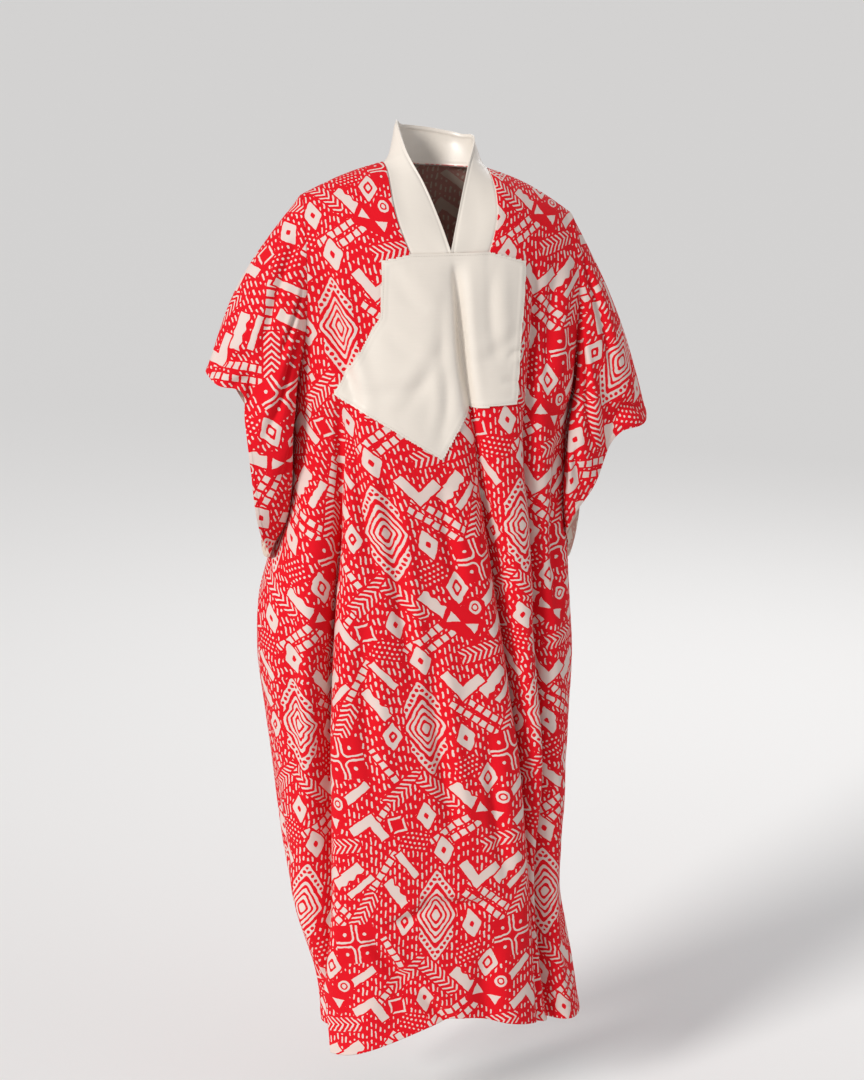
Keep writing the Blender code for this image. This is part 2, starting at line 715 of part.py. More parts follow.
def main():
    for old in list(bpy.data.objects):
        bpy.data.objects.remove(old)
    panels = cloth_surface()
    directions = wall_directions(panels)
    for name, triangles in panels.items():
        finish(cloth_wall(name, triangles, directions),
               "ivory satin" if name == "neck_band" else "printed cloth")
    chest, chest_directions = chest_surface(panels["front_panel"], directions)
    finish(cloth_wall("chest_panel", chest, chest_directions, lift=WALL + LAYER_GAP), "ivory satin")


main()
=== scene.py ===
"""Grand boubou robe, worn: printed front, back and sleeves, ivory satin neck band and chest panel.

Metres, +Z up. The robe's front faces -Y and the wearer's left is +X. The origin is the middle of the
shoulder line. The cloth follows the same tables as the solids, on finer grids and smooth curves.
"""
from math import cos, hypot, pi, radians, sin

import bmesh
import bpy
import numpy as np
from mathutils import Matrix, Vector, noise


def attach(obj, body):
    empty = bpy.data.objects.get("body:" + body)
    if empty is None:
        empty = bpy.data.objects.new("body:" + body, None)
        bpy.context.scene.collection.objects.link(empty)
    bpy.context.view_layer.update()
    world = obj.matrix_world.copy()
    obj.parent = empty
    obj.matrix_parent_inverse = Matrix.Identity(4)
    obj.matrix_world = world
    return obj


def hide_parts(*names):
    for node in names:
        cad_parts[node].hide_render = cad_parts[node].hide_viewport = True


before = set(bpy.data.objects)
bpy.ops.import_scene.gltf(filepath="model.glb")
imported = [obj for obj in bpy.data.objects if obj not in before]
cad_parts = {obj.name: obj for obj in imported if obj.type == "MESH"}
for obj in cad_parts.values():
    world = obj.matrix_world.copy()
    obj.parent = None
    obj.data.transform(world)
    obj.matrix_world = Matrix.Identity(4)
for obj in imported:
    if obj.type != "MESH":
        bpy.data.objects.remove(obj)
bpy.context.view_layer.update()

# Thickness of the cloth: print, folded satin, and the lift of the chest panel off the front
PRINT_THICKNESS = 0.0009
BAND_THICKNESS = 0.0024
CHEST_THICKNESS = 0.0011
CHEST_LIFT = 0.0017

# Levels, down from the shoulder line
NECK_LEVEL = -0.068
UNDERARM_LEVEL = -0.335
HEM_LEVEL = -1.42
HEM_BAND = 0.035

# Rows and columns of the grids
STRAP_ROWS = 24
ARMHOLE_ROWS = 38
SKIRT_ROWS = 144
HEM_ROWS = 18
BODY_COLUMNS = 200
NECK_COLUMNS = (72, 128)
SLEEVE_COLUMNS = 200
SLEEVE_ROWS = 84
BAND_LINES = 170
BAND_COLUMNS = 46

# Shoulder line: x and z of its outer tips and of the neck points, and how it swells between them
TIP = {"right": (-0.222, 0.018), "left": (0.232, -0.021)}
NECK = {"right": (-0.086, 0.069), "left": (0.088, 0.056)}
SHOULDER_CROWN = {"right": 0.005, "left": 0.009}
NECK_SWING = {"right": 0.010, "left": 0.009}
BACK_NECK_DEPTH = 0.052
BACK_NECK_DIP = 0.004
FRONT_DROP = 0.20
BACK_DROP = 0.17
ARMHOLE_HALF_DEPTH = 0.072
ARMHOLE_FULLNESS = 2.5
ARMHOLE_CLOSING = 0.6
SIDE_POWER = 2.6
STRAP_TURN = radians(65)
CURVE_POINTS = 641
TANGENT_STEP = 0.003

# Body sections: level, x of the right and left side, y of front and back, roundness at the sides
SECTION_COLUMNS = ("z", "right", "left", "front", "back", "round")
SECTIONS = (
    (0.070, -0.222, 0.232, -0.134, 0.100, 1.0),
    (-0.068, -0.223, 0.233, -0.137, 0.106, 1.0),
    (-0.200, -0.226, 0.233, -0.141, 0.116, 1.0),
    (-0.335, -0.238, 0.228, -0.147, 0.116, 2.0),
    (-0.380, -0.239, 0.223, -0.148, 0.116, 2.1),
    (-0.450, -0.246, 0.219, -0.150, 0.116, 2.2),
    (-0.530, -0.262, 0.219, -0.151, 0.117, 2.3),
    (-0.590, -0.286, 0.225, -0.153, 0.119, 2.3),
    (-0.640, -0.300, 0.230, -0.154, 0.122, 2.4),
    (-0.730, -0.306, 0.236, -0.156, 0.128, 2.4),
    (-0.840, -0.294, 0.236, -0.158, 0.134, 2.4),
    (-0.970, -0.277, 0.230, -0.160, 0.142, 2.4),
    (-1.100, -0.262, 0.224, -0.160, 0.148, 2.4),
    (-1.210, -0.245, 0.229, -0.158, 0.151, 2.4),
    (-1.330, -0.213, 0.246, -0.156, 0.152, 2.4),
    (-1.420, -0.204, 0.262, -0.154, 0.152, 2.4),
)

# Lines down the front: level, x
SIDE_FOLD_LINE = ((0.07, -0.150), (-0.068, -0.160), (-0.367, -0.190), (-0.589, -0.204),
                  (-0.772, -0.219), (-0.954, -0.226), (-1.330, -0.205), (-1.420, -0.196))
CENTRE_FOLD_LINE = ((-0.068, 0.000), (-0.332, 0.035), (-0.545, 0.075), (-0.764, 0.111),
                    (-0.982, 0.144), (-1.420, 0.165))
LEFT_FOLD_LINE = ((0.070, 0.150), (-0.068, 0.142), (-0.146, 0.150), (-0.377, 0.138), (-0.564, 0.158),
                  (-0.774, 0.172), (-0.960, 0.183), (-1.160, 0.182), (-1.420, 0.202))
NECK_FOOT = (-0.065, 0.065)

# Folds of the front and back: line, then level, depth (minus goes in) and half width
FRONT_FOLDS = (
    ("centre", CENTRE_FOLD_LINE, ((-0.07, -0.006, 0.020), (-0.20, -0.012, 0.020), (-0.34, -0.018, 0.020),
                                  (-0.50, -0.036, 0.019), (-0.75, -0.044, 0.018), (-1.00, -0.038, 0.018),
                                  (-1.20, -0.022, 0.022), (-1.42, -0.012, 0.026))),
    ("left chest", LEFT_FOLD_LINE, ((-0.07, -0.002, 0.020), (-0.15, -0.014, 0.018), (-0.40, -0.024, 0.017),
                                    (-0.75, -0.034, 0.016), (-1.10, -0.034, 0.017), (-1.30, -0.040, 0.020),
                                    (-1.42, -0.030, 0.024))),
    ("side", SIDE_FOLD_LINE, ((-0.28, 0.000, 0.022), (-0.38, -0.018, 0.022), (-0.60, -0.044, 0.022),
                              (-0.95, -0.044, 0.022), (-1.20, -0.026, 0.020), (-1.34, -0.006, 0.018),
                              (-1.42, 0.000, 0.018))),
)
BACK_FOLDS = (
    ("right blade", ((-0.15, -0.150), (-0.80, -0.185), (-1.42, -0.170)),
     ((-0.15, 0.000, 0.034), (-0.45, -0.020, 0.034), (-1.00, -0.036, 0.034), (-1.42, -0.030, 0.038))),
    ("right back", ((-0.10, -0.060), (-0.80, -0.080), (-1.42, -0.085)),
     ((-0.20, 0.000, 0.036), (-0.60, -0.016, 0.036), (-1.10, -0.030, 0.038), (-1.42, -0.034, 0.040))),
    ("middle back", ((-0.05, 0.010), (-0.80, 0.025), (-1.42, 0.020)),
     ((-0.12, 0.000, 0.036), (-0.40, -0.014, 0.036), (-0.90, -0.026, 0.038), (-1.42, -0.028, 0.040))),
    ("left blade", ((-0.15, 0.130), (-0.80, 0.120), (-1.42, 0.130)),
     ((-0.20, 0.000, 0.034), (-0.50, -0.022, 0.034), (-1.00, -0.034, 0.034), (-1.42, -0.036, 0.038))),
)
SEAM_HOLLOW = ((-0.95, 0.000, 0.024), (-1.10, -0.014, 0.024), (-1.25, -0.024, 0.024),
               (-1.42, -0.016, 0.026))
FOLD_START = 0.04
FOLD_EDGE = 0.58

# Slit up the right side: level of its top, how fast it opens, how far it runs round and stands out
SLIT_TOP = -1.050
SLIT_GROWTH = 0.17
SLIT_WIDTH = 0.075
SLIT_STAND = 0.014

# Drop of the hem below its level, along x
FRONT_HEM = ((-0.23, 0.040), (-0.19, 0.043), (-0.10, 0.006), (0.01, -0.034), (0.10, -0.014), (0.16, 0.000),
             (0.23, 0.014), (0.27, 0.020))
BACK_HEM = ((-0.23, 0.040), (-0.15, 0.020), (0.00, 0.000), (0.15, 0.010), (0.27, 0.020))

# Cuff rings: share of the way round from the top over the front, x, y, z
CUFFS = {
    "right": (
        (0.00, -0.382, 0.004, -0.270),
        (0.07, -0.368, -0.042, -0.284),
        (0.15, -0.331, -0.060, -0.296),
        (0.22, -0.327, -0.066, -0.345),
        (0.32, -0.322, -0.068, -0.420),
        (0.42, -0.308, -0.060, -0.528),
        (0.47, -0.291, -0.040, -0.572),
        (0.52, -0.294, 0.000, -0.584),
        (0.60, -0.292, 0.040, -0.530),
        (0.70, -0.297, 0.060, -0.400),
        (0.84, -0.326, 0.060, -0.312),
    ),
    "left": (
        (0.00, 0.372, 0.004, -0.366),
        (0.07, 0.352, -0.042, -0.378),
        (0.15, 0.312, -0.060, -0.388),
        (0.28, 0.262, -0.064, -0.478),
        (0.39, 0.218, -0.068, -0.545),
        (0.50, 0.240, 0.006, -0.616),
        (0.62, 0.266, 0.046, -0.560),
        (0.74, 0.284, 0.062, -0.470),
        (0.86, 0.330, 0.058, -0.395),
    ),
}
# How the middle of each sleeve swells off the straight way from armhole to cuff
SLEEVE_SWELLS = {
    "right": (
        (0.00, 0.016, 0.000, 0.010),
        (0.22, 0.004, -0.016, 0.000),
        (0.40, -0.012, -0.018, -0.034),
        (0.50, -0.010, 0.000, -0.050),
        (0.60, -0.006, 0.014, -0.040),
        (0.78, 0.004, 0.016, 0.000),
    ),
    "left": (
        (0.00, 0.009, 0.000, 0.009),
        (0.22, 0.003, -0.016, 0.000),
        (0.34, -0.006, -0.018, -0.010),
        (0.43, -0.014, -0.018, -0.022),
        (0.50, -0.006, 0.000, -0.028),
        (0.60, 0.000, 0.014, -0.016),
        (0.78, 0.004, 0.016, 0.000),
    ),
}
UNDERARM_LEAVE = 0.007
SLEEVE_GRAIN = radians(28)
SLEEVE_CLEARANCE = 0.0024
SIDE_COLUMNS = 60
# Folds of the sleeves: share round the ring, half width as a share, depth, where it starts
SLEEVE_FOLDS = {
    "right": ((0.20, 0.050, -0.014, 0.15), (0.74, 0.060, -0.014, 0.15)),
    "left": ((0.20, 0.050, -0.016, 0.10), (0.76, 0.060, -0.014, 0.15)),
}

# Neck band: inner edge, share of the way from the right foot round the back to the left foot, x, y, z
BAND_EDGE = (
    (0.00, 0.000, -0.130, -0.0635),
    (0.08, -0.012, -0.107, -0.020),
    (0.16, -0.032, -0.072, 0.040),
    (0.22, -0.052, -0.030, 0.089),
    (0.27, -0.058, 0.010, 0.126),
    (0.38, -0.043, 0.052, 0.125),
    (0.50, 0.006, 0.070, 0.118),
    (0.62, 0.055, 0.052, 0.108),
    (0.73, 0.070, 0.012, 0.100),
    (0.79, 0.050, -0.035, 0.066),
    (0.85, 0.032, -0.072, 0.026),
    (0.92, 0.012, -0.107, -0.030),
    (1.00, 0.000, -0.130, -0.0635),
)
BAND_CROWN = 0.005
BAND_FOOT_LEVEL = -0.0735
BAND_FOOT_LINES = 6
BAND_MEETING = 0.0003
BAND_BEHIND = 0.0035
BAND_OVERLAP = 0.0030
BAND_LIFT = 0.0014
BAND_RUMPLE = (0.0022, 11.0, 26.0)
BAND_STITCH_INSET = 0.0045

# Chest panel: x and z of its corners
CHEST_OUTLINE = (
    ("top right", -0.111, -0.077),
    ("right of the band", -0.065, -0.0672),
    ("left of the band", 0.065, -0.0672),
    ("top left", 0.127, -0.085),
    ("bottom left", 0.109, -0.315),
    ("inner corner", 0.030, -0.319),
    ("tip", -0.017, -0.403),
    ("right point", -0.188, -0.294),
    ("waist", -0.115, -0.167),
)
CHEST_STEP = 0.0025

# Creases of the front: x and z of both ends, depth (minus goes in), half width
FRONT_CREASES = (
    ("level fold over the shin", -0.055, -1.166, 0.085, -1.178, -0.015, 0.012),
    ("level fold, right end", -0.120, -1.210, -0.040, -1.172, -0.010, 0.010),
    ("knee fold", -0.145, -1.230, -0.060, -1.330, -0.013, 0.012),
    ("shin fold", -0.070, -1.315, 0.015, -1.405, -0.010, 0.011),
    ("armhole drag", -0.205, -0.060, -0.150, -0.330, -0.013, 0.013),
    ("chest drag", -0.170, -0.300, -0.120, -0.620, -0.014, 0.013),
    ("waist pull", -0.110, -0.430, -0.060, -0.800, -0.014, 0.013),
    ("waist pull, short", -0.020, -0.440, 0.020, -0.640, -0.008, 0.011),
    ("thigh pull", -0.040, -0.700, 0.010, -1.080, -0.015, 0.015),
    ("thigh pull, right", -0.150, -0.640, -0.130, -1.000, -0.009, 0.014),
    ("hip drag", -0.262, -0.600, -0.250, -1.060, -0.010, 0.014),
    ("shin pull", 0.060, -0.860, 0.100, -1.150, -0.010, 0.012),
    ("left drag", 0.190, -0.080, 0.170, -0.330, -0.011, 0.012),
    ("left waist", 0.205, -0.330, 0.195, -0.700, -0.012, 0.012),
    ("left thigh", 0.150, -0.640, 0.160, -0.940, -0.005, 0.010),
    ("left shin", 0.225, -1.060, 0.235, -1.400, -0.010, 0.013),
    ("hem wave", 0.060, -1.250, 0.080, -1.430, -0.010, 0.020),
    ("hem wave, right", -0.120, -1.290, -0.130, -1.440, 0.006, 0.022),
)
BACK_CREASES = (
    ("yoke drag, right", -0.190, 0.000, -0.060, -0.260, -0.007, 0.015),
    ("yoke drag, left", 0.200, -0.030, 0.070, -0.270, -0.007, 0.015),
    ("blade", -0.110, -0.180, -0.120, -0.620, -0.012, 0.015),
    ("left blade", 0.060, -0.200, 0.070, -0.700, -0.011, 0.016),
    ("seat", -0.100, -0.760, 0.120, -0.800, -0.008, 0.018),
    ("thigh", -0.130, -0.640, -0.150, -1.080, -0.012, 0.015),
    ("left thigh", 0.150, -0.560, 0.170, -1.020, -0.012, 0.015),
    ("calf", -0.020, -0.980, -0.060, -1.400, -0.012, 0.016),
    ("left calf", 0.180, -0.900, 0.200, -1.400, -0.011, 0.015),
    ("right calf", -0.220, -0.820, -0.210, -1.300, -0.011, 0.014),
    ("level fold", -0.150, -1.180, 0.060, -1.150, -0.007, 0.017),
)
# Creases of the sleeves: share round and share along at both ends, depth, half width in metres
SLEEVE_CREASES = {
    "right": (
        ("cuff puff", 0.02, 0.93, 0.16, 0.80, -0.012, 0.013),
        ("cuff puff, low", 0.10, 0.98, 0.20, 0.88, -0.007, 0.010),
        ("cap drag", 0.08, 0.06, 0.16, 0.70, -0.008, 0.014),
        ("front drag", 0.26, 0.08, 0.30, 0.85, -0.010, 0.014),
        ("seam drag", 0.20, 0.05, 0.23, 0.45, -0.008, 0.010),
        ("underarm", 0.40, 0.15, 0.38, 0.75, -0.006, 0.012),
        ("back drag", 0.64, 0.15, 0.68, 0.80, -0.006, 0.014),
        ("back cap", 0.88, 0.20, 0.84, 0.80, -0.005, 0.012),
    ),
    "left": (
        ("cuff roll", 0.02, 0.94, 0.18, 0.88, -0.010, 0.011),
        ("cap drag", 0.10, 0.06, 0.14, 0.70, -0.008, 0.014),
        ("front drag", 0.28, 0.08, 0.26, 0.80, -0.010, 0.014),
        ("low pull", 0.36, 0.55, 0.30, 0.92, -0.007, 0.012),
        ("underarm", 0.42, 0.15, 0.39, 0.70, -0.006, 0.012),
        ("back drag", 0.62, 0.15, 0.66, 0.85, -0.006, 0.014),
        ("back cap", 0.88, 0.15, 0.86, 0.75, -0.005, 0.012),
    ),
}
# Creases of the satin chest panel, as on the front
CHEST_CREASES = (
    ("middle valley", 0.010, -0.080, 0.036, -0.350, -0.0105, 0.010),
    ("beside the valley", -0.014, -0.120, -0.002, -0.350, -0.0035, 0.012),
    ("upper valley", 0.066, -0.075, 0.076, -0.250, -0.0045, 0.012),
    ("cross pull", 0.034, -0.250, 0.118, -0.190, -0.0020, 0.012),
    ("right pull", -0.112, -0.195, -0.030, -0.240, -0.0022, 0.012),
    ("low right pull", -0.165, -0.290, -0.030, -0.275, -0.0026, 0.014),
    ("long pull", -0.095, -0.335, -0.012, -0.200, -0.0028, 0.013),
    ("edge pucker", 0.130, -0.228, 0.090, -0.240, -0.0030, 0.006),
    ("low edge pucker", 0.124, -0.286, 0.080, -0.276, -0.0026, 0.006),
    ("tip pull", -0.024, -0.385, -0.006, -0.250, -0.0026, 0.010),
    ("shoulder pull", -0.100, -0.085, -0.040, -0.160, -0.0030, 0.014),
)
CREASE_RIDGE = 0.45

# Uneven fall of the cloth between its folds: height, and waves a metre across and down
SOFT_FALL = (0.0050, 9.0, 2.6)
SOFT_RUMPLE = (0.0018, 24.0, 10.0)

# Turned edges: width, how far they stand proud, half width of the stitch line's groove
HEM_TURN = (0.024, 0.0007)
CUFF_TURN = (0.013, 0.0007)
SATIN_TURN = (0.008, 0.0010)
SATIN_STITCH_INSET = 0.0035
GROOVE = (0.0010, 0.0018)


def curve(places, values, at):
    """Values on a smooth curve through a few points, level beyond its ends."""
    places = np.asarray(places, float)
    values = np.asarray(values, float)
    slopes = np.gradient(values, places, axis=0)
    at = np.clip(np.asarray(at, float), places[0], places[-1])
    k = np.clip(np.searchsorted(places, at) - 1, 0, len(places) - 2)
    span = places[k + 1] - places[k]
    t = (at - places[k]) / span
    if values.ndim > 1:
        span = span[..., None]
        t = t[..., None]
    rise = values[k + 1] - values[k]
    start = span * slopes[k]
    end = span * slopes[k + 1]
    return values[k] + t * start + t ** 2 * (3 * rise - 2 * start - end) + t ** 3 * (start + end - 2 * rise)


def ring_curve(table, shares):
    """Points of a closed smooth curve through a table's rows of share, x, y and z."""
    rows = [(row[0] - 1,) + tuple(row[1:]) for row in table] + list(table)
    rows += [(row[0] + 1,) + tuple(row[1:]) for row in table]
    return curve([row[0] for row in rows], [row[1:] for row in rows], np.asarray(shares) % 1.0)


def along(table, z, column=1):
    """A value of a table of falling levels at level z."""
    return curve([-row[0] for row in table], [row[column] for row in table], -np.asarray(z, float))


def section(z):
    return {name: along(SECTIONS, z, column) for column, name in enumerate(SECTION_COLUMNS)}


def quarter(share):
    """Rises from 0 to 1 as a quarter circle does."""
    return np.sqrt(1 - (1 - np.clip(share, 0.0, 1.0)) ** 2)


def ease(share):
    share = np.clip(share, 0.0, 1.0)
    return share * share * (3 - 2 * share)


def bump(distance):
    return np.exp(-distance * distance)


def neck_arc(x):
    """0 outside the neck opening, rising to 1 at its middle."""
    start, end = NECK["right"][0], NECK["left"][0]
    return np.sin(pi * np.clip((np.asarray(x) - start) / (end - start), 0.0, 1.0))


def reach_to_neck(x, side):
    """0 at a shoulder's outer tip, rising to 1 at its neck point."""
    return np.clip((np.asarray(x) - TIP[side][0]) / (NECK[side][0] - TIP[side][0]), 0.0, 1.0)


def shoulder_height(x):
    """Height of the shoulder line, or of the back neckline between the neck points."""
    xs = (TIP["right"][0], NECK["right"][0], NECK["left"][0], TIP["left"][0])
    zs = (TIP["right"][1], NECK["right"][1], NECK["left"][1], TIP["left"][1])
    crown = sum(SHOULDER_CROWN[side] * np.sin(pi * reach_to_neck(x, side)) for side in TIP)
    return np.interp(x, xs, zs) + crown - BACK_NECK_DIP * neck_arc(x)


def body_depth(x, z, back):
    """y of the body's smooth surface at x and level z."""
    here = section(z)
    middle = (here["right"] + here["left"]) / 2
    half = (here["left"] - here["right"]) / 2
    across = np.clip(np.abs((np.asarray(x) - middle) / half), 0.0, 1.0)
    share = np.clip((TIP["right"][1] - z) / (TIP["right"][1] - UNDERARM_LEVEL), 0.0, 1.0)
    edge = ARMHOLE_HALF_DEPTH * (1 - share ** ARMHOLE_FULLNESS) ** ARMHOLE_CLOSING
    reach = here["back"] if back else -here["front"]
    depth = edge + (reach - edge) * (1 - across ** SIDE_POWER) ** (1 / here["round"])
    rise = quarter((shoulder_height(x) - z) / (BACK_DROP if back else FRONT_DROP))
    start = BACK_NECK_DEPTH * neck_arc(x) if back else 0.0
    depth = start + (depth - start) * rise
    return depth if back else -depth


def section_curve(z, back):
    """Fine points of half a section, from the right side to the left side, and their arc lengths."""
    here = section(z)
    turn = np.linspace(-pi / 2, pi / 2, CURVE_POINTS)
    x = (here["right"] + here["left"]) / 2 + (here["left"] - here["right"]) / 2 * np.sin(turn)
    y = body_depth(x, z, back)
    return x, y, np.concatenate([[0.0], np.cumsum(np.hypot(np.diff(x), np.diff(y)))])


def column_shares(z, back):
    """Places of a row's columns: on the neck seam at the neck's foot, and even lower down."""
    even = np.linspace(0, 1, BODY_COLUMNS + 1)
    x, y, length = section_curve(NECK_LEVEL, back)
    feet = (NECK["right"][0], NECK["left"][0]) if back else NECK_FOOT
    feet = [np.interp(foot, x, length) / length[-1] for foot in feet]
    knots = [0, NECK_COLUMNS[0], NECK_COLUMNS[1], BODY_COLUMNS]
    seamed = np.interp(np.arange(BODY_COLUMNS + 1), knots, [0, feet[0], feet[1], 1])
    share = ease((NECK_LEVEL - z) / 0.35)
    return seamed + (even - seamed) * share


def fold_depth(folds, arc_of, arc, z):
    """How far the folds push the cloth out at each arc length of a section."""
    depth = np.zeros_like(arc)
    for name, line, shape in folds:
        if z < shape[0][0]:
            grown = ease((shape[0][0] - z) / FOLD_START)
            away = (arc - arc_of(along(line, z))) / along(shape, z, 2)
            depth += grown * along(shape, z, 1) * (0.75 * bump(away) + FOLD_EDGE * bump(away * 3.6 - 0.5))
    if z < SEAM_HOLLOW[0][0]:
        depth += along(SEAM_HOLLOW, z, 1) * bump(arc / along(SEAM_HOLLOW, z, 2))
    return depth


def body_row(z, back):
    """One row of the body with its folds, and its places across the cut."""
    x, y, length = section_curve(z, back)

    def arc_of(place):
        return float(np.interp(place, x, length))

    shares = column_shares(z, back)
    slit = 0.0 if back else ease((SLIT_TOP - z) / SLIT_GROWTH)
    arc = shares * length[-1] + SLIT_WIDTH * slit * (1 - shares) ** 8
    px = np.interp(arc, length, x)
    py = np.interp(arc, length, y)
    ahead = np.clip(arc + TANGENT_STEP, 0, length[-1])
    behind = np.clip(arc - TANGENT_STEP, 0, length[-1])
    tx = np.interp(ahead, length, x) - np.interp(behind, length, x)
    ty = np.interp(ahead, length, y) - np.interp(behind, length, y)
    size = np.hypot(tx, ty)
    side = -1 if back else 1
    nx = side * ty / size
    ny = -side * tx / size
    for edge, outward in ((0, -1.0), (-1, 1.0)):
        if edge == -1 or not slit:
            nx[edge] = outward
            ny[edge] = 0.0
    depth = fold_depth(BACK_FOLDS if back else FRONT_FOLDS, arc_of, arc, z)
    depth += SLIT_STAND * slit * bump((arc - arc[0]) / SLIT_WIDTH)
    hem = BACK_HEM if back else FRONT_HEM
    low = ease((UNDERARM_LEVEL - z) / (UNDERARM_LEVEL - HEM_LEVEL))
    drop = curve([row[0] for row in hem], [row[1] for row in hem], px) * low
    points = np.stack([px + nx * depth, py + ny * depth, z - drop], -1)
    run = np.concatenate([[0.0], np.cumsum(np.linalg.norm(np.diff(points, axis=0), axis=1))])
    middle = arc_of(0.0 if back else along(CENTRE_FOLD_LINE, z))
    return points, run - np.interp(middle, arc, run)


def strap_row(row, back, low):
    """One row of the shoulders, between the shoulder line and the neck level."""
    share = (1 - cos(STRAP_TURN * row / STRAP_ROWS)) / (1 - cos(STRAP_TURN))
    knots = [0, NECK_COLUMNS[0], NECK_COLUMNS[1], BODY_COLUMNS]
    tops = [TIP["right"][0], NECK["right"][0], NECK["left"][0], TIP["left"][0]]
    x_top = np.interp(np.arange(BODY_COLUMNS + 1), knots, tops)
    swing = sum(NECK_SWING[side] * outward * reach_to_neck(x_top, side) ** 2 * (x_top * outward > 0)
                for side, outward in (("right", -1), ("left", 1)))
    x = x_top + (low[:, 0] - x_top) * share + (0.0 if back else swing * sin(pi * share))
    high = shoulder_height(x_top)
    z = high + (NECK_LEVEL - high) * share
    if row == 0:
        y = BACK_NECK_DEPTH * neck_arc(x_top) * back
    else:
        y = np.array([float(body_depth(a, b, back)) for a, b in zip(x, z)])
    return np.stack([x, y + 0 * x, z], -1)


def grid_normals(points):
    """Unit normals of a grid of points, from its rows and columns."""
    down = np.gradient(points, axis=0)
    across = np.gradient(points, axis=1)
    normals = np.cross(down, across)
    return normals / np.maximum(np.linalg.norm(normals, axis=-1, keepdims=True), 1e-12)


def crease_depth(across, down, creases, ridge=CREASE_RIDGE):
    """Depth of listed creases at places of a panel: a trough with a lower ridge beside it."""
    depth = np.zeros_like(across)
    for name, x1, z1, x2, z2, deep, half in creases:
        length = hypot(x2 - x1, z2 - z1)
        share = ((across - x1) * (x2 - x1) + (down - z1) * (z2 - z1)) / length ** 2
        aside = ((across - x1) * (z1 - z2) + (down - z1) * (x2 - x1)) / length
        aside = aside + half * 0.6 * np.sin(3.0 * share)
        taper = np.sin(pi * np.clip(share, 0.0, 1.0)) ** 0.8
        depth += deep * taper * (bump(aside / half) - ridge * bump((aside - 1.9 * half) / half))
    return depth


def uneven(across, down, settings, seed):
    """Soft uneven height from a noise, stretched down the cloth."""
    height, waves_across, waves_down = settings
    values = [noise.noise(Vector((u * waves_across, v * waves_down, seed)))
              for u, v in zip(across.ravel(), down.ravel())]
    return height * np.array(values).reshape(across.shape)


def stitched_turn(distance, turn):
    """Height of a turned edge: proud up to its stitch line, with a groove along the line."""
    width, proud = turn
    deep, half = GROOVE
    return proud * ease((width - distance) / 0.003 + 0.5) - deep * bump((distance - width + 0.002) / half)


def body_panel(back):
    """Points and cut places of the front or back."""
    levels = np.concatenate([
        np.linspace(NECK_LEVEL, UNDERARM_LEVEL, ARMHOLE_ROWS + 1),
        np.linspace(UNDERARM_LEVEL, HEM_LEVEL + HEM_BAND, SKIRT_ROWS + 1)[1:],
        np.linspace(HEM_LEVEL + HEM_BAND, HEM_LEVEL, HEM_ROWS + 1)[1:]])
    rows = [body_row(z, back) for z in levels]
    low = rows[0][0]
    straps = [strap_row(row, back, low) for row in range(STRAP_ROWS)]
    points = np.array(straps + [row[0] for row in rows])
    across = np.array([rows[0][1]] * STRAP_ROWS + [row[1] for row in rows])
    down = NECK_LEVEL - points[..., 2]
    for row in range(STRAP_ROWS - 1, -1, -1):
        down[row] = down[row + 1] - np.linalg.norm(points[row + 1] - points[row], axis=-1)
    normals = grid_normals(points)
    if back:
        normals = -normals
    creases = BACK_CREASES if back else FRONT_CREASES + CHEST_CREASES
    height = crease_depth(points[..., 0], points[..., 2], creases)
    height += uneven(across, down, SOFT_FALL, 3.1 + back)
    height += uneven(across, down, SOFT_RUMPLE, 7.4 + back)
    edge = np.minimum(np.arange(BODY_COLUMNS + 1), np.arange(BODY_COLUMNS + 1)[::-1]) / 5.0
    height *= ease(edge)[None, :]
    height *= ease(np.arange(len(points)) / 9.0)[:, None]
    if not back:
        neck = np.abs(np.arange(BODY_COLUMNS + 1) - BODY_COLUMNS / 2) - (NECK_COLUMNS[1] - NECK_COLUMNS[0]) / 2
        calm = ease(np.abs(neck) / 6.0)[None, :]
        calm = calm + (1 - calm) * ease((np.arange(len(points)) - STRAP_ROWS) / 8.0)[:, None]
        height *= calm
    height += stitched_turn(down[-1][None, :] - down, HEM_TURN)
    points = points + normals * height[..., None]
    return points, across, down


def sleeve_cut(points, outward):
    """The sleeve laid flat: each ring unrolled from its top point, the front down and the back up."""
    top = SLEEVE_COLUMNS // 2
    axis = points[-1, top, [0, 2]] - points[0, top, [0, 2]]
    axis /= np.linalg.norm(axis)
    aside = outward * np.array([axis[1], -axis[0]])
    share = points[..., [0, 2]] @ axis
    run = np.linalg.norm(np.diff(points, axis=1), axis=-1)
    width = np.sqrt(np.maximum(run ** 2 - np.diff(share, axis=1) ** 2, 0.0))
    around = np.zeros_like(share)
    around[:, top + 1:] = np.cumsum(width[:, top:], axis=1)
    around[:, :top] = -np.cumsum(width[:, :top][:, ::-1], axis=1)[:, ::-1]
    around += (points[:, top, [0, 2]] @ aside)[:, None]
    return share[..., None] * axis + around[..., None] * aside


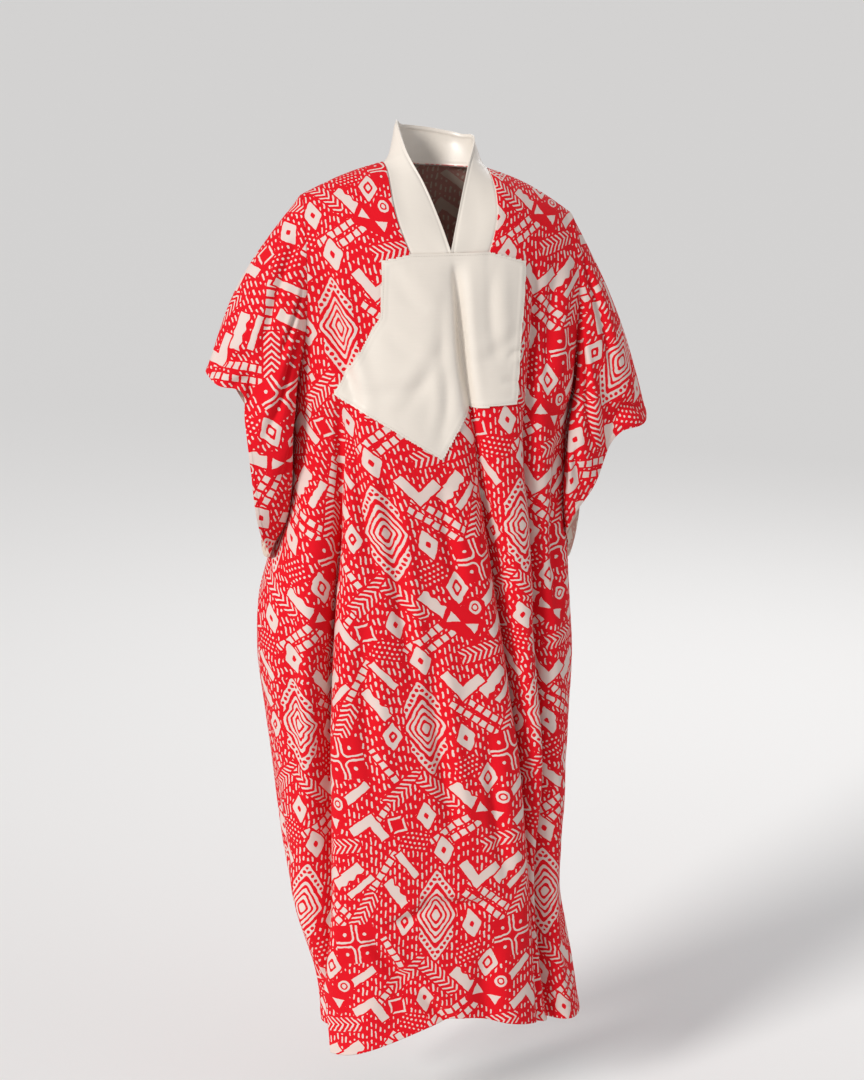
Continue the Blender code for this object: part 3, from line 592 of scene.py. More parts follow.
def clear_of_body(points, edge, outward, front, back):
    """Moves a sleeve's points out to the side of the body, where they would lie inside it."""
    low = STRAP_ROWS + ARMHOLE_ROWS
    inner = slice(0, SIDE_COLUMNS) if edge == 0 else slice(-1, -1 - SIDE_COLUMNS, -1)
    front_side = front[low:, inner]
    back_side = back[low:, inner]
    levels = front_side[:, 0, 2]
    sides = np.concatenate([front_side[:, ::-1], back_side[:, 1:]], 1)
    depths = np.maximum.accumulate(sides[..., 1], axis=1)
    for ring, column in np.argwhere(points[..., 2] < UNDERARM_LEVEL):
        x, y, z = points[ring, column]
        place = min(np.interp(-z, -levels, np.arange(len(levels))), len(levels) - 1.001)
        row = int(place)
        above, below = (np.interp(y, depths[k], sides[k, :, 0]) for k in (row, row + 1))
        clearance = SLEEVE_CLEARANCE * ease((UNDERARM_LEVEL - z) / 0.02)
        limit = above + (below - above) * (place - row) + outward * clearance
        points[ring, column, 0] = outward * max(outward * x, outward * limit)
    return points


def sleeve_panel(side, front, back):
    """Points and cut places of a sleeve, in rings from its armhole to its cuff.

    Each ring runs from the underarm up the back, over the top and down the front."""
    edge = 0 if side == "right" else -1
    outward = -1 if side == "right" else 1
    under_row = STRAP_ROWS + ARMHOLE_ROWS
    seam = np.concatenate([front[:under_row + 1, edge], back[under_row - 1:0:-1, edge], front[:1, edge]])
    run = np.concatenate([[0.0], np.cumsum(np.linalg.norm(np.diff(seam, axis=0), axis=1))])
    turns = np.linspace(-0.5, 0.5, SLEEVE_COLUMNS + 1)
    shares = turns % 1.0
    armhole = np.stack([np.interp(shares * run[-1], run, seam[:, axis]) for axis in range(3)], -1)
    cuff = ring_curve(CUFFS[side], shares)
    swell = ring_curve(SLEEVE_SWELLS[side], shares)
    steps = np.linspace(0, 1, SLEEVE_ROWS - 12 + 1)
    steps = np.concatenate([steps[:-4], np.linspace(steps[-4], 1, 16)])
    rings = []
    for t in steps:
        ring = armhole + (cuff - armhole) * t
        ring[:, 0] += outward * swell[:, 0] * sin(pi * t)
        ring[:, 1] += swell[:, 1] * sin(pi * t)
        ring[:, 2] += swell[:, 2] * sin(pi * t) ** 2
        under = 0.5 - 0.5 * np.cos(2 * pi * shares)
        ring[:, 0] += outward * UNDERARM_LEAVE * (under * (1 - t)) ** 2 * ease(t / 0.02)
        for place, width, depth, begin in SLEEVE_FOLDS[side]:
            inward = np.where(shares < 0.5, -1, 1)
            ring[:, 1] += inward * depth * ease((t - begin) / (1 - begin)) * bump((shares - place) / width)
        rings.append(ring)
    points = np.array(rings)
    around = np.concatenate([np.zeros((len(points), 1)),
                             np.cumsum(np.linalg.norm(np.diff(points, axis=1), axis=-1), axis=1)], 1)
    down = np.concatenate([np.zeros((1, SLEEVE_COLUMNS + 1)),
                           np.cumsum(np.linalg.norm(np.diff(points, axis=0), axis=-1), axis=0)], 0)
    flat = sleeve_cut(points, outward)
    grain = SLEEVE_GRAIN * outward
    across = flat[..., 0] * cos(grain) - flat[..., 1] * sin(grain)
    fall = -flat[..., 0] * sin(grain) - flat[..., 1] * cos(grain)
    normals = grid_normals(points)
    normals[:, 0] = normals[:, -1] = (normals[:, 0] + normals[:, -1]) / 2
    if side == "left":
        normals = -normals
    girth = np.median(around[:, -1])
    length = np.median(down[-1])
    creases = [(name, s1 * girth, t1 * length, s2 * girth, t2 * length, depth, half)
               for name, s1, t1, s2, t2, depth, half in SLEEVE_CREASES[side]]
    place = np.tile(shares * girth, (len(points), 1))
    height = crease_depth(place, steps[:, None] * length + 0 * place, creases)
    height += uneven(np.sin(2 * pi * np.tile(turns, (len(points), 1))) * 0.12, down, SOFT_FALL, 11.0)
    height += uneven(np.sin(2 * pi * np.tile(turns, (len(points), 1))) * 0.12, down, SOFT_RUMPLE, 13.0)
    height *= ease(steps / 0.12)[:, None]
    height += stitched_turn(down[-1][None, :] - down, CUFF_TURN)
    return clear_of_body(points + normals * height[..., None], edge, outward, front, back), across, fall


def cloth_sheet(name, points, across, down, keep=None, flip=False):
    """A sheet of cloth on a grid of points, with its flat cut as UV map, in metres."""
    rows, columns = points.shape[:2]
    index = np.arange(rows * columns).reshape(rows, columns)
    quads = np.stack([index[:-1, :-1], index[1:, :-1], index[1:, 1:], index[:-1, 1:]], -1)
    if flip:
        quads = quads[..., ::-1]
    if keep is not None:
        quads = quads[keep]
    quads = quads.reshape(-1, 4)
    mesh = bpy.data.meshes.new(name)
    mesh.from_pydata([tuple(point) for point in points.reshape(-1, 3)], [], quads.tolist())
    layer = mesh.uv_layers.new(name="cut")
    places = np.stack([across.ravel(), -down.ravel()], -1)[quads.ravel()]
    layer.data.foreach_set("uv", places.ravel())
    sheet = bpy.data.objects.new(name, mesh)
    bpy.context.collection.objects.link(sheet)
    work = bmesh.new()
    work.from_mesh(mesh)
    bmesh.ops.remove_doubles(work, verts=work.verts, dist=1e-5)
    loose = [corner for corner in work.verts if not corner.link_faces]
    bmesh.ops.delete(work, geom=loose, context="VERTS")
    work.to_mesh(mesh)
    work.free()
    mesh.shade_smooth()
    return sheet


def thicken(sheet, thickness, outside, inside, offset=0.0, round_edge=0.0):
    """Gives a sheet its two finishes and its thickness."""
    sheet.data.materials.append(outside)
    sheet.data.materials.append(inside)
    bpy.ops.object.select_all(action="DESELECT")
    bpy.context.view_layer.objects.active = sheet
    sheet.select_set(True)
    shell = sheet.modifiers.new("thickness", "SOLIDIFY")
    shell.thickness = thickness
    shell.offset = offset
    shell.use_even_offset = False
    shell.material_offset = 1
    shell.material_offset_rim = 0
    bpy.ops.object.modifier_apply(modifier=shell.name)
    if round_edge:
        rim = sheet.modifiers.new("rim", "BEVEL")
        rim.width = round_edge
        rim.segments = 3
        rim.limit_method = "ANGLE"
        rim.angle_limit = radians(60)
        bpy.ops.object.modifier_apply(modifier=rim.name)
    sheet.data.shade_smooth()


def band_panel(front, back, surface):
    """Points and cut places of the neck band, in lines from its seam to its inner edge.

    Its first and last lines run down behind the top edge of the chest panel."""
    right, left = NECK_COLUMNS

    def seam_line(step):
        """The neck seam, or a line so many places out from it on the print."""
        return np.concatenate([front[STRAP_ROWS:0:-1, right - step], back[step, right:left + 1],
                               front[1:STRAP_ROWS + 1, left + step]])

    seam = seam_line(0)
    out = seam_line(2) - seam
    out /= np.linalg.norm(out, axis=1, keepdims=True)
    up = np.cross(np.gradient(seam, axis=0), out)
    up /= np.linalg.norm(up, axis=1, keepdims=True)
    if up[len(up) // 4, 1] > 0:
        up = -up
    seam = seam + out * BAND_OVERLAP + up * BAND_LIFT
    run = np.concatenate([[0.0], np.cumsum(np.linalg.norm(np.diff(seam, axis=0), axis=1))])
    # Shares of the seam are counted as the solids count them, by their rows and columns.
    counts = np.concatenate([np.linspace(0, 5 / 22, STRAP_ROWS, endpoint=False),
                             np.linspace(5 / 22, 17 / 22, left - right + 1),
                             np.linspace(17 / 22, 1, STRAP_ROWS + 1)[1:]])
    shares = np.interp(np.linspace(0, run[-1], BAND_LINES + 1), run, counts)
    start = np.stack([np.interp(shares, counts, seam[:, axis]) for axis in range(3)], -1)
    end = curve([row[0] for row in BAND_EDGE], [row[1:] for row in BAND_EDGE], shares)
    t = np.linspace(0, 1, BAND_COLUMNS + 1)[None, :, None]
    points = start[:, None] + (end - start)[:, None] * t
    away = points.copy()
    away[..., 2] = 0.0
    away /= np.maximum(np.linalg.norm(away, axis=-1, keepdims=True), 1e-6)
    points += away * (BAND_CROWN * np.sin(pi * shares))[:, None, None] * np.sin(pi * t)
    for end_line, side in ((0, -1), (-1, 1)):
        foot = points[end_line].copy()
        foot[:, 0] = np.linspace(NECK_FOOT[0] * -side, side * BAND_MEETING, BAND_COLUMNS + 1)
        foot[:, 1] = surface.depth(foot[:, 0], np.full(BAND_COLUMNS + 1, NECK_LEVEL)) + BAND_BEHIND
        foot[:, 2] = BAND_FOOT_LEVEL
        way = np.linspace(0, 1, BAND_FOOT_LINES + 1)[:-1, None, None]
        if side < 0:
            points = np.concatenate([foot + (points[0] - foot) * way, points])
        else:
            points = np.concatenate([points, (foot + (points[-1] - foot) * way)[::-1]])
    step = np.linalg.norm(np.diff(points, axis=0), axis=-1).mean(axis=1)
    down = np.repeat(np.concatenate([[0.0], np.cumsum(step)])[:, None], BAND_COLUMNS + 1, 1)
    across = np.concatenate([np.zeros((len(points), 1)),
                             np.cumsum(np.linalg.norm(np.diff(points, axis=1), axis=-1), axis=1)], 1)
    normals = grid_normals(points)
    if normals[len(points) // 2, 0, 1] < 0:
        normals = -normals
    inset = np.minimum(across, across[:, -1:] - across)
    height = uneven(down, across, BAND_RUMPLE, 31.0) * ease(inset / 0.012)
    height -= GROOVE[0] * bump((inset - BAND_STITCH_INSET) / GROOVE[1])
    return points + normals * height[..., None], across, down


class FrontSurface:
    """The front's finished surface over the chest, read at x and z."""

    def __init__(self, points):
        self.levels = points[STRAP_ROWS:, :, 2].mean(axis=1)
        self.rows = points[STRAP_ROWS:]

    def depth(self, x, z):
        """y of the surface at each place."""
        place = np.interp(-z, -self.levels, np.arange(len(self.levels)))
        low = np.clip(place.astype(int), 0, len(self.levels) - 2)
        y = np.empty_like(x)
        for row in np.unique(low):
            here = low == row
            share = place[here] - row
            above = np.interp(x[here], self.rows[row, :, 0], self.rows[row, :, 1])
            below = np.interp(x[here], self.rows[row + 1, :, 0], self.rows[row + 1, :, 1])
            y[here] = above + (below - above) * share
        return y

    def place(self, x, z, lift):
        """Points at x and z, lifted off the surface along its normal."""
        step = 0.002
        y = self.depth(x, z)
        slope_x = (self.depth(x + step, z) - self.depth(x - step, z)) / (2 * step)
        slope_z = (self.depth(x, z + step) - self.depth(x, z - step)) / (2 * step)
        normal = np.stack([slope_x, -np.ones_like(x), slope_z], -1)
        normal /= np.linalg.norm(normal, axis=-1, keepdims=True)
        return np.stack([x, y, z], -1) + normal * np.asarray(lift)[..., None], normal


def outline_distance(x, z, corners):
    """Distance of places inside an outline from its nearest side."""
    nearest = np.full(np.shape(x), 1e9)
    for (ax, az), (bx, bz) in zip(corners, corners[1:] + corners[:1]):
        share = ((x - ax) * (bx - ax) + (z - az) * (bz - az)) / ((bx - ax) ** 2 + (bz - az) ** 2)
        share = np.clip(share, 0.0, 1.0)
        nearest = np.minimum(nearest, np.hypot(x - ax - (bx - ax) * share, z - az - (bz - az) * share))
    return nearest


def inside_outline(x, z, corners):
    """Whether a place lies inside an outline."""
    inside = False
    for (ax, az), (bx, bz) in zip(corners, corners[1:] + corners[:1]):
        if (az > z) != (bz > z) and x < ax + (z - az) / (bz - az) * (bx - ax):
            inside = not inside
    return inside


def chest_sheet(surface):
    """The satin chest panel: a fine flat net cut to the outline and laid on the front."""
    corners = [(x, z) for name, x, z in CHEST_OUTLINE]
    xs = [x for x, z in corners]
    zs = [z for x, z in corners]
    columns = int((max(xs) - min(xs)) / CHEST_STEP) + 2
    rows = int((max(zs) - min(zs)) / CHEST_STEP) + 2
    flat = np.stack(np.meshgrid(min(xs) - 0.001 + CHEST_STEP * np.arange(columns + 1),
                                max(zs) + 0.001 - CHEST_STEP * np.arange(rows + 1)), -1)
    points = np.stack([flat[..., 0], 0 * flat[..., 0], flat[..., 1]], -1)
    sheet = cloth_sheet("chest_panel_satin", points, flat[..., 0], -flat[..., 1])
    work = bmesh.new()
    work.from_mesh(sheet.data)
    for (ax, az), (bx, bz) in zip(corners, corners[1:] + corners[:1]):
        start = Vector((ax, 0.0, az))
        span = Vector((bx - ax, 0.0, bz - az))
        near = []
        for face in work.faces:
            away = face.calc_center_median() - start
            share = min(max(away.dot(span) / span.length_squared, 0.0), 1.0)
            if (away - span * share).length < 3 * CHEST_STEP:
                near.append(face)
        parts = near + list({edge for face in near for edge in face.edges})
        parts += list({corner for face in near for corner in face.verts})
        bmesh.ops.bisect_plane(work, geom=parts, dist=0.0002, plane_co=start,
                               plane_no=Vector((-span.z, 0.0, span.x)))
    outside = []
    for face in work.faces:
        centre = face.calc_center_median()
        if not inside_outline(centre.x, centre.z, corners):
            outside.append(face)
    bmesh.ops.delete(work, geom=outside, context="FACES")
    places = np.array([tuple(corner.co) for corner in work.verts])
    x, z = places[:, 0], places[:, 2]
    inset = outline_distance(x, z, corners)
    lift = np.full(len(x), CHEST_LIFT)
    width, proud = SATIN_TURN
    lift += proud * ease((width - inset) / 0.004 + 0.5)
    lift -= GROOVE[0] * bump((inset - SATIN_STITCH_INSET) / GROOVE[1])
    lift += uneven(x, z, (0.0011, 22.0, 9.0), 21.0) * ease(inset / 0.012)
    points, normals = surface.place(x, z, lift)
    for corner, point in zip(work.verts, points):
        corner.co = point
    bmesh.ops.recalc_face_normals(work, faces=work.faces)
    if sum(face.normal.y for face in work.faces) > 0:
        bmesh.ops.reverse_faces(work, faces=work.faces)
    work.to_mesh(sheet.data)
    work.free()
    sheet.data.shade_smooth()
    return sheet, corners


def inset_corners(corners, inset):
    """The outline's corners, moved in by the same distance from both their sides."""
    moved = []
    count = len(corners)
    for k in range(count):
        before, here, after = (Vector(corners[(k + step) % count]) for step in (-1, 0, 1))
        a = (here - before).normalized()
        b = (after - here).normalized()
        inward = Vector((a.y, -a.x)) + Vector((b.y, -b.x))
        inward /= 1 + Vector((a.y, -a.x)).dot(Vector((b.y, -b.x)))
        moved.append(tuple(here + inward * inset))
    return moved


def stitch_row(name, path, normals, thread, length=0.0030, gap=0.0012, half=0.00032):
    """A row of stitches along a path that lies on the cloth, joined as one mesh."""
    path = np.asarray(path)
    run = np.concatenate([[0.0], np.cumsum(np.linalg.norm(np.diff(path, axis=0), axis=1))])
    starts = np.arange(gap, run[-1] - length, length + gap)
    rings = ((0.0, 0.35), (0.2, 1.0), (0.8, 1.0), (1.0, 0.35))
    corners = []
    faces = []
    for start in starts:
        base = len(corners)
        ends = [np.array([np.interp(start + s, run, path[:, axis]) for axis in range(3)]) for s in (0, length)]
        up = np.array([np.interp(start + length / 2, run, normals[:, axis]) for axis in range(3)])
        up /= np.linalg.norm(up)
        forward = (ends[1] - ends[0]) / np.linalg.norm(ends[1] - ends[0])
        aside = np.cross(forward, up)
        for share, size in rings:
            centre = ends[0] + (ends[1] - ends[0]) * share
            sink = up * half * (0.2 if size > 0.5 else -0.6)
            for turn in range(5):
                angle = 2 * pi * turn / 5
                corners.append(centre + sink + (aside * cos(angle) + up * sin(angle)) * half * size)
        for ring in range(len(rings) - 1):
            for turn in range(5):
                a = base + ring * 5 + turn
                b = base + ring * 5 + (turn + 1) % 5
                faces.append((a, b, b + 5, a + 5))
        faces.append([base + turn for turn in range(4, -1, -1)])
        faces.append([base + 5 * (len(rings) - 1) + turn for turn in range(5)])
    mesh = bpy.data.meshes.new(name)
    mesh.from_pydata([tuple(corner) for corner in corners], [], faces)
    work = bmesh.new()
    work.from_mesh(mesh)
    bmesh.ops.recalc_face_normals(work, faces=work.faces)
    work.to_mesh(mesh)
    work.free()
    mesh.shade_smooth()
    mesh.materials.append(thread)
    row = bpy.data.objects.new(name, mesh)
    bpy.context.collection.objects.link(row)
    return row


class Value:
    """A number worked out by a material's nodes, so that patterns can be written as formulas."""

    def __init__(self, finish, socket):
        self.finish = finish
        self.socket = socket

    def __add__(self, other):
        return self.finish.math("ADD", self, other)

    def __sub__(self, other):
        return self.finish.math("SUBTRACT", self, other)

    def __mul__(self, other):
        return self.finish.math("MULTIPLY", self, other)

    def __truediv__(self, other):
        return self.finish.math("DIVIDE", self, other)

    def __neg__(self):
        return self.finish.math("MULTIPLY", self, -1.0)

    def __abs__(self):
        return self.finish.math("ABSOLUTE", self)

    def __lt__(self, other):
        return self.finish.math("LESS_THAN", self, other)

    def __gt__(self, other):
        return self.finish.math("GREATER_THAN", self, other)

    def most(self, other):
        return self.finish.math("MAXIMUM", self, other)

    def least(self, other):
        return self.finish.math("MINIMUM", self, other)

    def floor(self):
        return self.finish.math("FLOOR", self)

    def root(self):
        return self.finish.math("SQRT", self)

    def within(self, span):
        """The remainder of the number in a span, from 0 up."""
        return self.finish.math("FLOORED_MODULO", self, span)


class Finish:
    """A material under construction."""

    def __init__(self, name):
        self.material = bpy.data.materials.new(name)
        self.material.use_nodes = True
        self.tree = self.material.node_tree
        self.shader = self.tree.nodes["Principled BSDF"]

    def join(self, value, socket):
        if isinstance(value, Value):
            value = value.socket
        if isinstance(value, bpy.types.NodeSocket):
            self.tree.links.new(value, socket)
        else:
            socket.default_value = value

    def node(self, kind, inputs=None, **settings):
        node = self.tree.nodes.new(kind)
        for key, value in settings.items():
            setattr(node, key, value)
        for key, value in (inputs or {}).items():
            self.join(value, node.inputs[key])
        return node

    def math(self, operation, *values):
        node = self.node("ShaderNodeMath", dict(enumerate(values)), operation=operation)
        return Value(self, node.outputs[0])

    def vector(self, operation, *values):
        node = self.node("ShaderNodeVectorMath", dict(enumerate(values)), operation=operation)
        return node.outputs["Value" if operation in ("LENGTH", "DOT_PRODUCT") else "Vector"]

    def parts(self, vector):
        node = self.node("ShaderNodeSeparateXYZ", {0: vector})
        return Value(self, node.outputs[0]), Value(self, node.outputs[1])

    def mix(self, share, first, second):
        node = self.node("ShaderNodeMix", {0: share, 6: first, 7: second}, data_type="RGBA")
        return node.outputs[2]

    def set(self, **values):
        """Sets the shader's own sockets."""
        for key, value in values.items():
            self.join(value, self.shader.inputs[key.replace("_", " ")])


# The print's repeat in millimetres, drawn on the cut: across and up
REPEAT = (290.0, 335.0)
STROKE = 3.5

# The print's motifs: kind, place across and up, half sizes, turn in degrees, what its kind needs, clear ground
MOTIFS = (
    ("square row", 186, 240, 57, 5.4, -38, 15.0, 3.0),
    ("square row", 176, 222, 57, 5.4, -38, 15.0, 3.0),
    ("square row", 116, 42, 52, 5.4, 32, 15.0, 3.0),
    ("square row", 124, 24, 52, 5.4, 32, 15.0, 3.0),
    ("square row", 276, 300, 45, 5.4, 56, 15.0, 3.0),
    ("square row", 6, 150, 37, 5.4, -58, 15.0, 3.0),
    ("square row", 286, 76, 45, 5.4, 48, 15.0, 3.0),
    ("chevron row", 34, 112, 42, 13.5, 40, 10.2, 3.4),
    ("chevron row", 92, 104, 42, 13.5, -42, 10.2, 3.4),
    ("chevron row", 240, 226, 42, 13.5, 62, 10.2, 3.4),
    ("chevron row", 200, 8, 38, 13.0, 12, 10.2, 3.4),
    ("dot patch", 144, 146, 22, 17.0, 20, 8.2, 2.0),
    ("dot patch", 44, 20, 24, 16.0, -12, 8.2, 2.0),
    ("wavy bar", 214, 290, 10.5, 31.0, -48, 0.0, 3.2),
    ("bar", 236, 274, 5.2, 29.0, -48, 0.0, 3.2),
    ("wavy bar", 138, 92, 10.5, 30.0, 44, 0.0, 3.2),
    ("bar", 30, 312, 6.0, 27.0, 38, 0.0, 3.2),
    ("wavy bar", 10, 262, 9.5, 27.0, 36, 0.0, 3.2),
    ("bar", 240, 106, 7.0, 26.0, -52, 0.0, 3.2),
    ("corner", 160, 298, 27.0, 27.0, 35, 17.0, 3.4),
    ("corner", 254, 36, 25.0, 25.0, -145, 16.0, 3.4),
    ("lozenge", 148, 196, 18.5, 28.0, 10, 10.5, 3.4),
    ("lozenge", 26, 206, 18.0, 27.0, -8, 7.5, 3.4),
    ("lozenge", 96, 334, 19.0, 28.0, 8, 10.5, 3.4),
    ("lozenge", 180, 120, 20.0, 30.0, -6, 7.5, 3.4),
    ("lozenge", 66, 62, 18.0, 27.0, 6, 10.0, 3.4),
    ("star cross", 226, 166, 36.0, 36.0, 8, 10.0, 0.0),
    ("hourglass", 178, 60, 12.0, 25.0, 60, 0.0, 9.0),
    ("ring", 204, 84, 11.0, 11.0, 0, 4.0, 8.0),
    ("open square", 14, 50, 14.0, 14.0, 12, STROKE, 4.0),
    ("great lozenge", 84, 216, 37.0, 55.0, 0, 7.4, 3.4),
)


def lozenge_distance(x, y, half_x, half_y, rounding=4.0):
    """Distance in or out of a lozenge's sides, its corners a little rounded."""
    wide = (x * x + rounding).root()
    high = (y * y + rounding).root()
    return (wide / half_x + high / half_y - 1.0) * (half_x * half_y / hypot(half_x, half_y))


def box_distance(x, y, half_x, half_y):
    return (abs(x) - half_x).most(abs(y) - half_y)


def draw_great_lozenge(x, y, half_x, half_y, pitch):
    """Nested lozenges, with a dotted chevron above and below."""
    outer = lozenge_distance(x, y, half_x, half_y, 12.0)
    rings = (outer < 0.0) * ((-outer).within(pitch) < pitch * 0.53)
    size = hypot(half_x, half_y)
    slide = (abs(x) * (half_x / size) - abs(y) * (half_y / size)).within(9.5) - 4.75
    dots = ((outer - 11.5) * (outer - 11.5) + slide * slide) > 10.5
    band = (abs(outer - 11.5) - 6.0).most(abs(x) - half_x * 0.84)
    return band.least(outer), rings.most((band < 0.0) * dots)


def draw_lozenge(x, y, half_x, half_y, wall):
    """A lozenge with a hole. A thin wall leaves room for a smaller lozenge in it."""
    outer = lozenge_distance(x, y, half_x, half_y)
    drawn = outer > -wall
    if wall < 8.0:
        drawn = drawn.most(outer < -(wall + STROKE))
    return outer, (outer < 0.0) * drawn


def draw_bar(x, y, half_x, half_y, unused):
    outer = box_distance(x, y, half_x, half_y)
    return outer, outer < 0.0


def draw_wavy_bar(x, y, half_x, half_y, unused):
    """A bar with one wavy side."""
    wave = x.finish.math("SINE", y * 0.33)
    outer = box_distance(x, y, half_x, half_y).most(x - wave * 1.8 - (half_x - 2.2))
    return outer, outer < 0.0


def draw_corner(x, y, half_x, half_y, width):
    """Two arms that meet at a corner."""
    hole = box_distance(x - width, y - width, half_x, half_y)
    arm = box_distance(x, y, half_x, half_y).most(-hole)
    return arm, arm < 0.0


def draw_square_row(x, y, half_x, half_y, pitch):
    outer = box_distance(x, y, half_x, half_y)
    square = abs(x.within(pitch) - pitch / 2) < half_y
    return outer, (outer < 0.0) * square


def draw_chevron_row(x, y, half_x, half_y, pitch):
    outer = box_distance(x, y, half_x, half_y)
    line = (x + abs(y) * 0.9).within(pitch) < pitch * 0.37
    return outer, (outer < 0.0) * line


def draw_dot_patch(x, y, half_x, half_y, pitch):
    """Small dots in rows."""
    outer = box_distance(x, y, half_x, half_y)
    row = (y / pitch).floor()
    across = (x + row * (pitch * 0.45)).within(pitch) - pitch / 2
    up = y.within(pitch) - pitch / 2
    return outer, (outer < 0.0) * ((across * across + up * up) < 3.6)


def draw_open_square(x, y, half_x, half_y, wall):
    outer = box_distance(x, y, half_x, half_y)
    gap = abs(x - y) > 3.2
    return outer, (outer < 0.0) * (outer > -wall) * gap


def draw_ring(x, y, half_x, half_y, wall):
    """A disc in a ring."""
    radius = (x * x + y * y).root()
    return radius - half_x, (radius < half_x) * ((radius > half_x - wall).most(radius < half_x * 0.36))


def draw_hourglass(x, y, half_x, half_y, unused):
    """Two triangles, tip to tip."""
    outer = box_distance(x, y, half_x, half_y)
    return outer, (outer < 0.0) * (abs(x) < abs(y) * (half_x / half_y) - 2.0)


def draw_star_cross(x, y, half_x, half_y, bend):
    """Four bent strokes, back to back, with a dot in each."""
    wide = abs(x)
    high = abs(y)
    outer = box_distance(x, y, half_x, half_y)
    corner_x = (-wide + (bend + 2.2)).most(0.0)
    corner_y = (-high + (bend + 2.2)).most(0.0)
    stroke = abs((corner_x * corner_x + corner_y * corner_y).root() - (bend - STROKE / 2)) < STROKE / 2
    side_x = wide - half_x * 0.50
    side_y = high - half_y * 0.50
    dot = (side_x * side_x + side_y * side_y) < 9.5
    return outer, (outer < 0.0) * stroke.most(dot)


DRAW = {
    "great lozenge": draw_great_lozenge,
    "lozenge": draw_lozenge,
    "bar": draw_bar,
    "wavy bar": draw_wavy_bar,
    "corner": draw_corner,
    "square row": draw_square_row,
    "chevron row": draw_chevron_row,
    "dot patch": draw_dot_patch,
    "open square": draw_open_square,
    "ring": draw_ring,
    "hourglass": draw_hourglass,
    "star cross": draw_star_cross,
}

# Dashes between the motifs: pitch across and up, then least half width and half length, and what chance adds
DASH_PITCH = (8.2, 17.0)
DASH_WIDTH = (1.05, 0.75)
DASH_LENGTH = (2.4, 5.4)


def dash_field(finish, place):
    """Short dashes in staggered columns, of uneven size."""
    pitch_x, pitch_y = DASH_PITCH
    x, y = finish.parts(place)
    column = (x / pitch_x).floor()
    jump = Value(finish, finish.node("ShaderNodeTexWhiteNoise", {"W": column}, noise_dimensions="1D").outputs["Value"])
    high = y / pitch_y + jump
    row = high.floor()
    cell = finish.node("ShaderNodeCombineXYZ", {0: column, 1: row}).outputs[0]
    chance = finish.node("ShaderNodeTexWhiteNoise", {"Vector": cell}, noise_dimensions="2D").outputs["Color"]
    wider, longer = finish.parts(chance)
    left = abs(x / pitch_x - column - 0.5) * pitch_x
    rise = abs(high - row - 0.5) * pitch_y
    narrow = left < wider * DASH_WIDTH[1] + DASH_WIDTH[0]
    return narrow * ((rise + left * 0.9) < longer * DASH_LENGTH[1] + DASH_LENGTH[0])


def cloth_print(finish, cut):
    """The print: 1 on its off-white motifs and 0 on its ground. cut is a place on the cut in metres."""
    metre = finish.vector("SCALE", cut)
    finish.tree.nodes[-1].inputs["Scale"].default_value = 1000.0
    wobble = finish.node("ShaderNodeTexNoise", {"Vector": metre, "Scale": 0.07, "Detail": 2.0, "Roughness": 0.55})
    shift = finish.vector("SUBTRACT", wobble.outputs["Color"], (0.5, 0.5, 0.5))
    place = finish.vector("MULTIPLY_ADD", shift, (5.0, 5.0, 0.0), metre)
    white = dash_field(finish, place)
    for kind, across, up, half_x, half_y, turn, extra, clear in MOTIFS:
        moved = finish.vector("SUBTRACT", place, (across, up, 0.0))
        near = finish.vector("WRAP", moved, (REPEAT[0] / 2, REPEAT[1] / 2, 1.0),
                             (-REPEAT[0] / 2, -REPEAT[1] / 2, -1.0))
        turned = finish.node("ShaderNodeVectorRotate", {"Vector": near, "Angle": radians(-turn)},
                             rotation_type="Z_AXIS").outputs[0]
        x, y = finish.parts(turned)
        outer, drawn = DRAW[kind](x, y, half_x, half_y, extra)
        white = (white * (outer > clear)).most(drawn)
    return white


def weave_bump(finish, cut, pitch, strength, crumple):
    """A fine weave and a soft crumple, as bump."""
    scaled = finish.vector("SCALE", cut)
    finish.tree.nodes[-1].inputs["Scale"].default_value = 2 * pi / pitch
    x, y = finish.parts(scaled)
    weave = finish.math("SINE", x) * finish.math("SINE", y)
    soft = finish.node("ShaderNodeTexNoise", {"Vector": cut, "Scale": 28.0, "Detail": 3.0})
    height = weave * strength + Value(finish, soft.outputs[0]) * crumple
    bumped = finish.node("ShaderNodeBump", {"Height": height, "Distance": 0.001, "Strength": 0.6})
    finish.set(Normal=bumped.outputs[0])


def print_finish(name, ground, motif, sheen):
    """Printed cotton. The reverse shows the same print, paler."""
    finish = Finish(name)
    cut = finish.node("ShaderNodeUVMap", uv_map="cut").outputs[0]
    white = cloth_print(finish, cut)
    blotch = finish.node("ShaderNodeTexNoise", {"Vector": cut, "Scale": 9.0, "Detail": 4.0})
    dull = Value(finish, blotch.outputs[0]) * 0.22
    deep = tuple(part * 0.72 for part in ground[:3]) + (1.0,)
    soiled = tuple(part * 0.86 for part in motif[:3]) + (1.0,)
    colour = finish.mix(white, finish.mix(dull, ground, deep), finish.mix(dull, motif, soiled))
    finish.set(Base_Color=colour, Roughness=0.82, Sheen_Weight=sheen, Sheen_Roughness=0.5)
    finish.set(Specular_IOR_Level=0.15)
    weave_bump(finish, cut, 0.0006, 0.10, 0.9)
    return finish.material


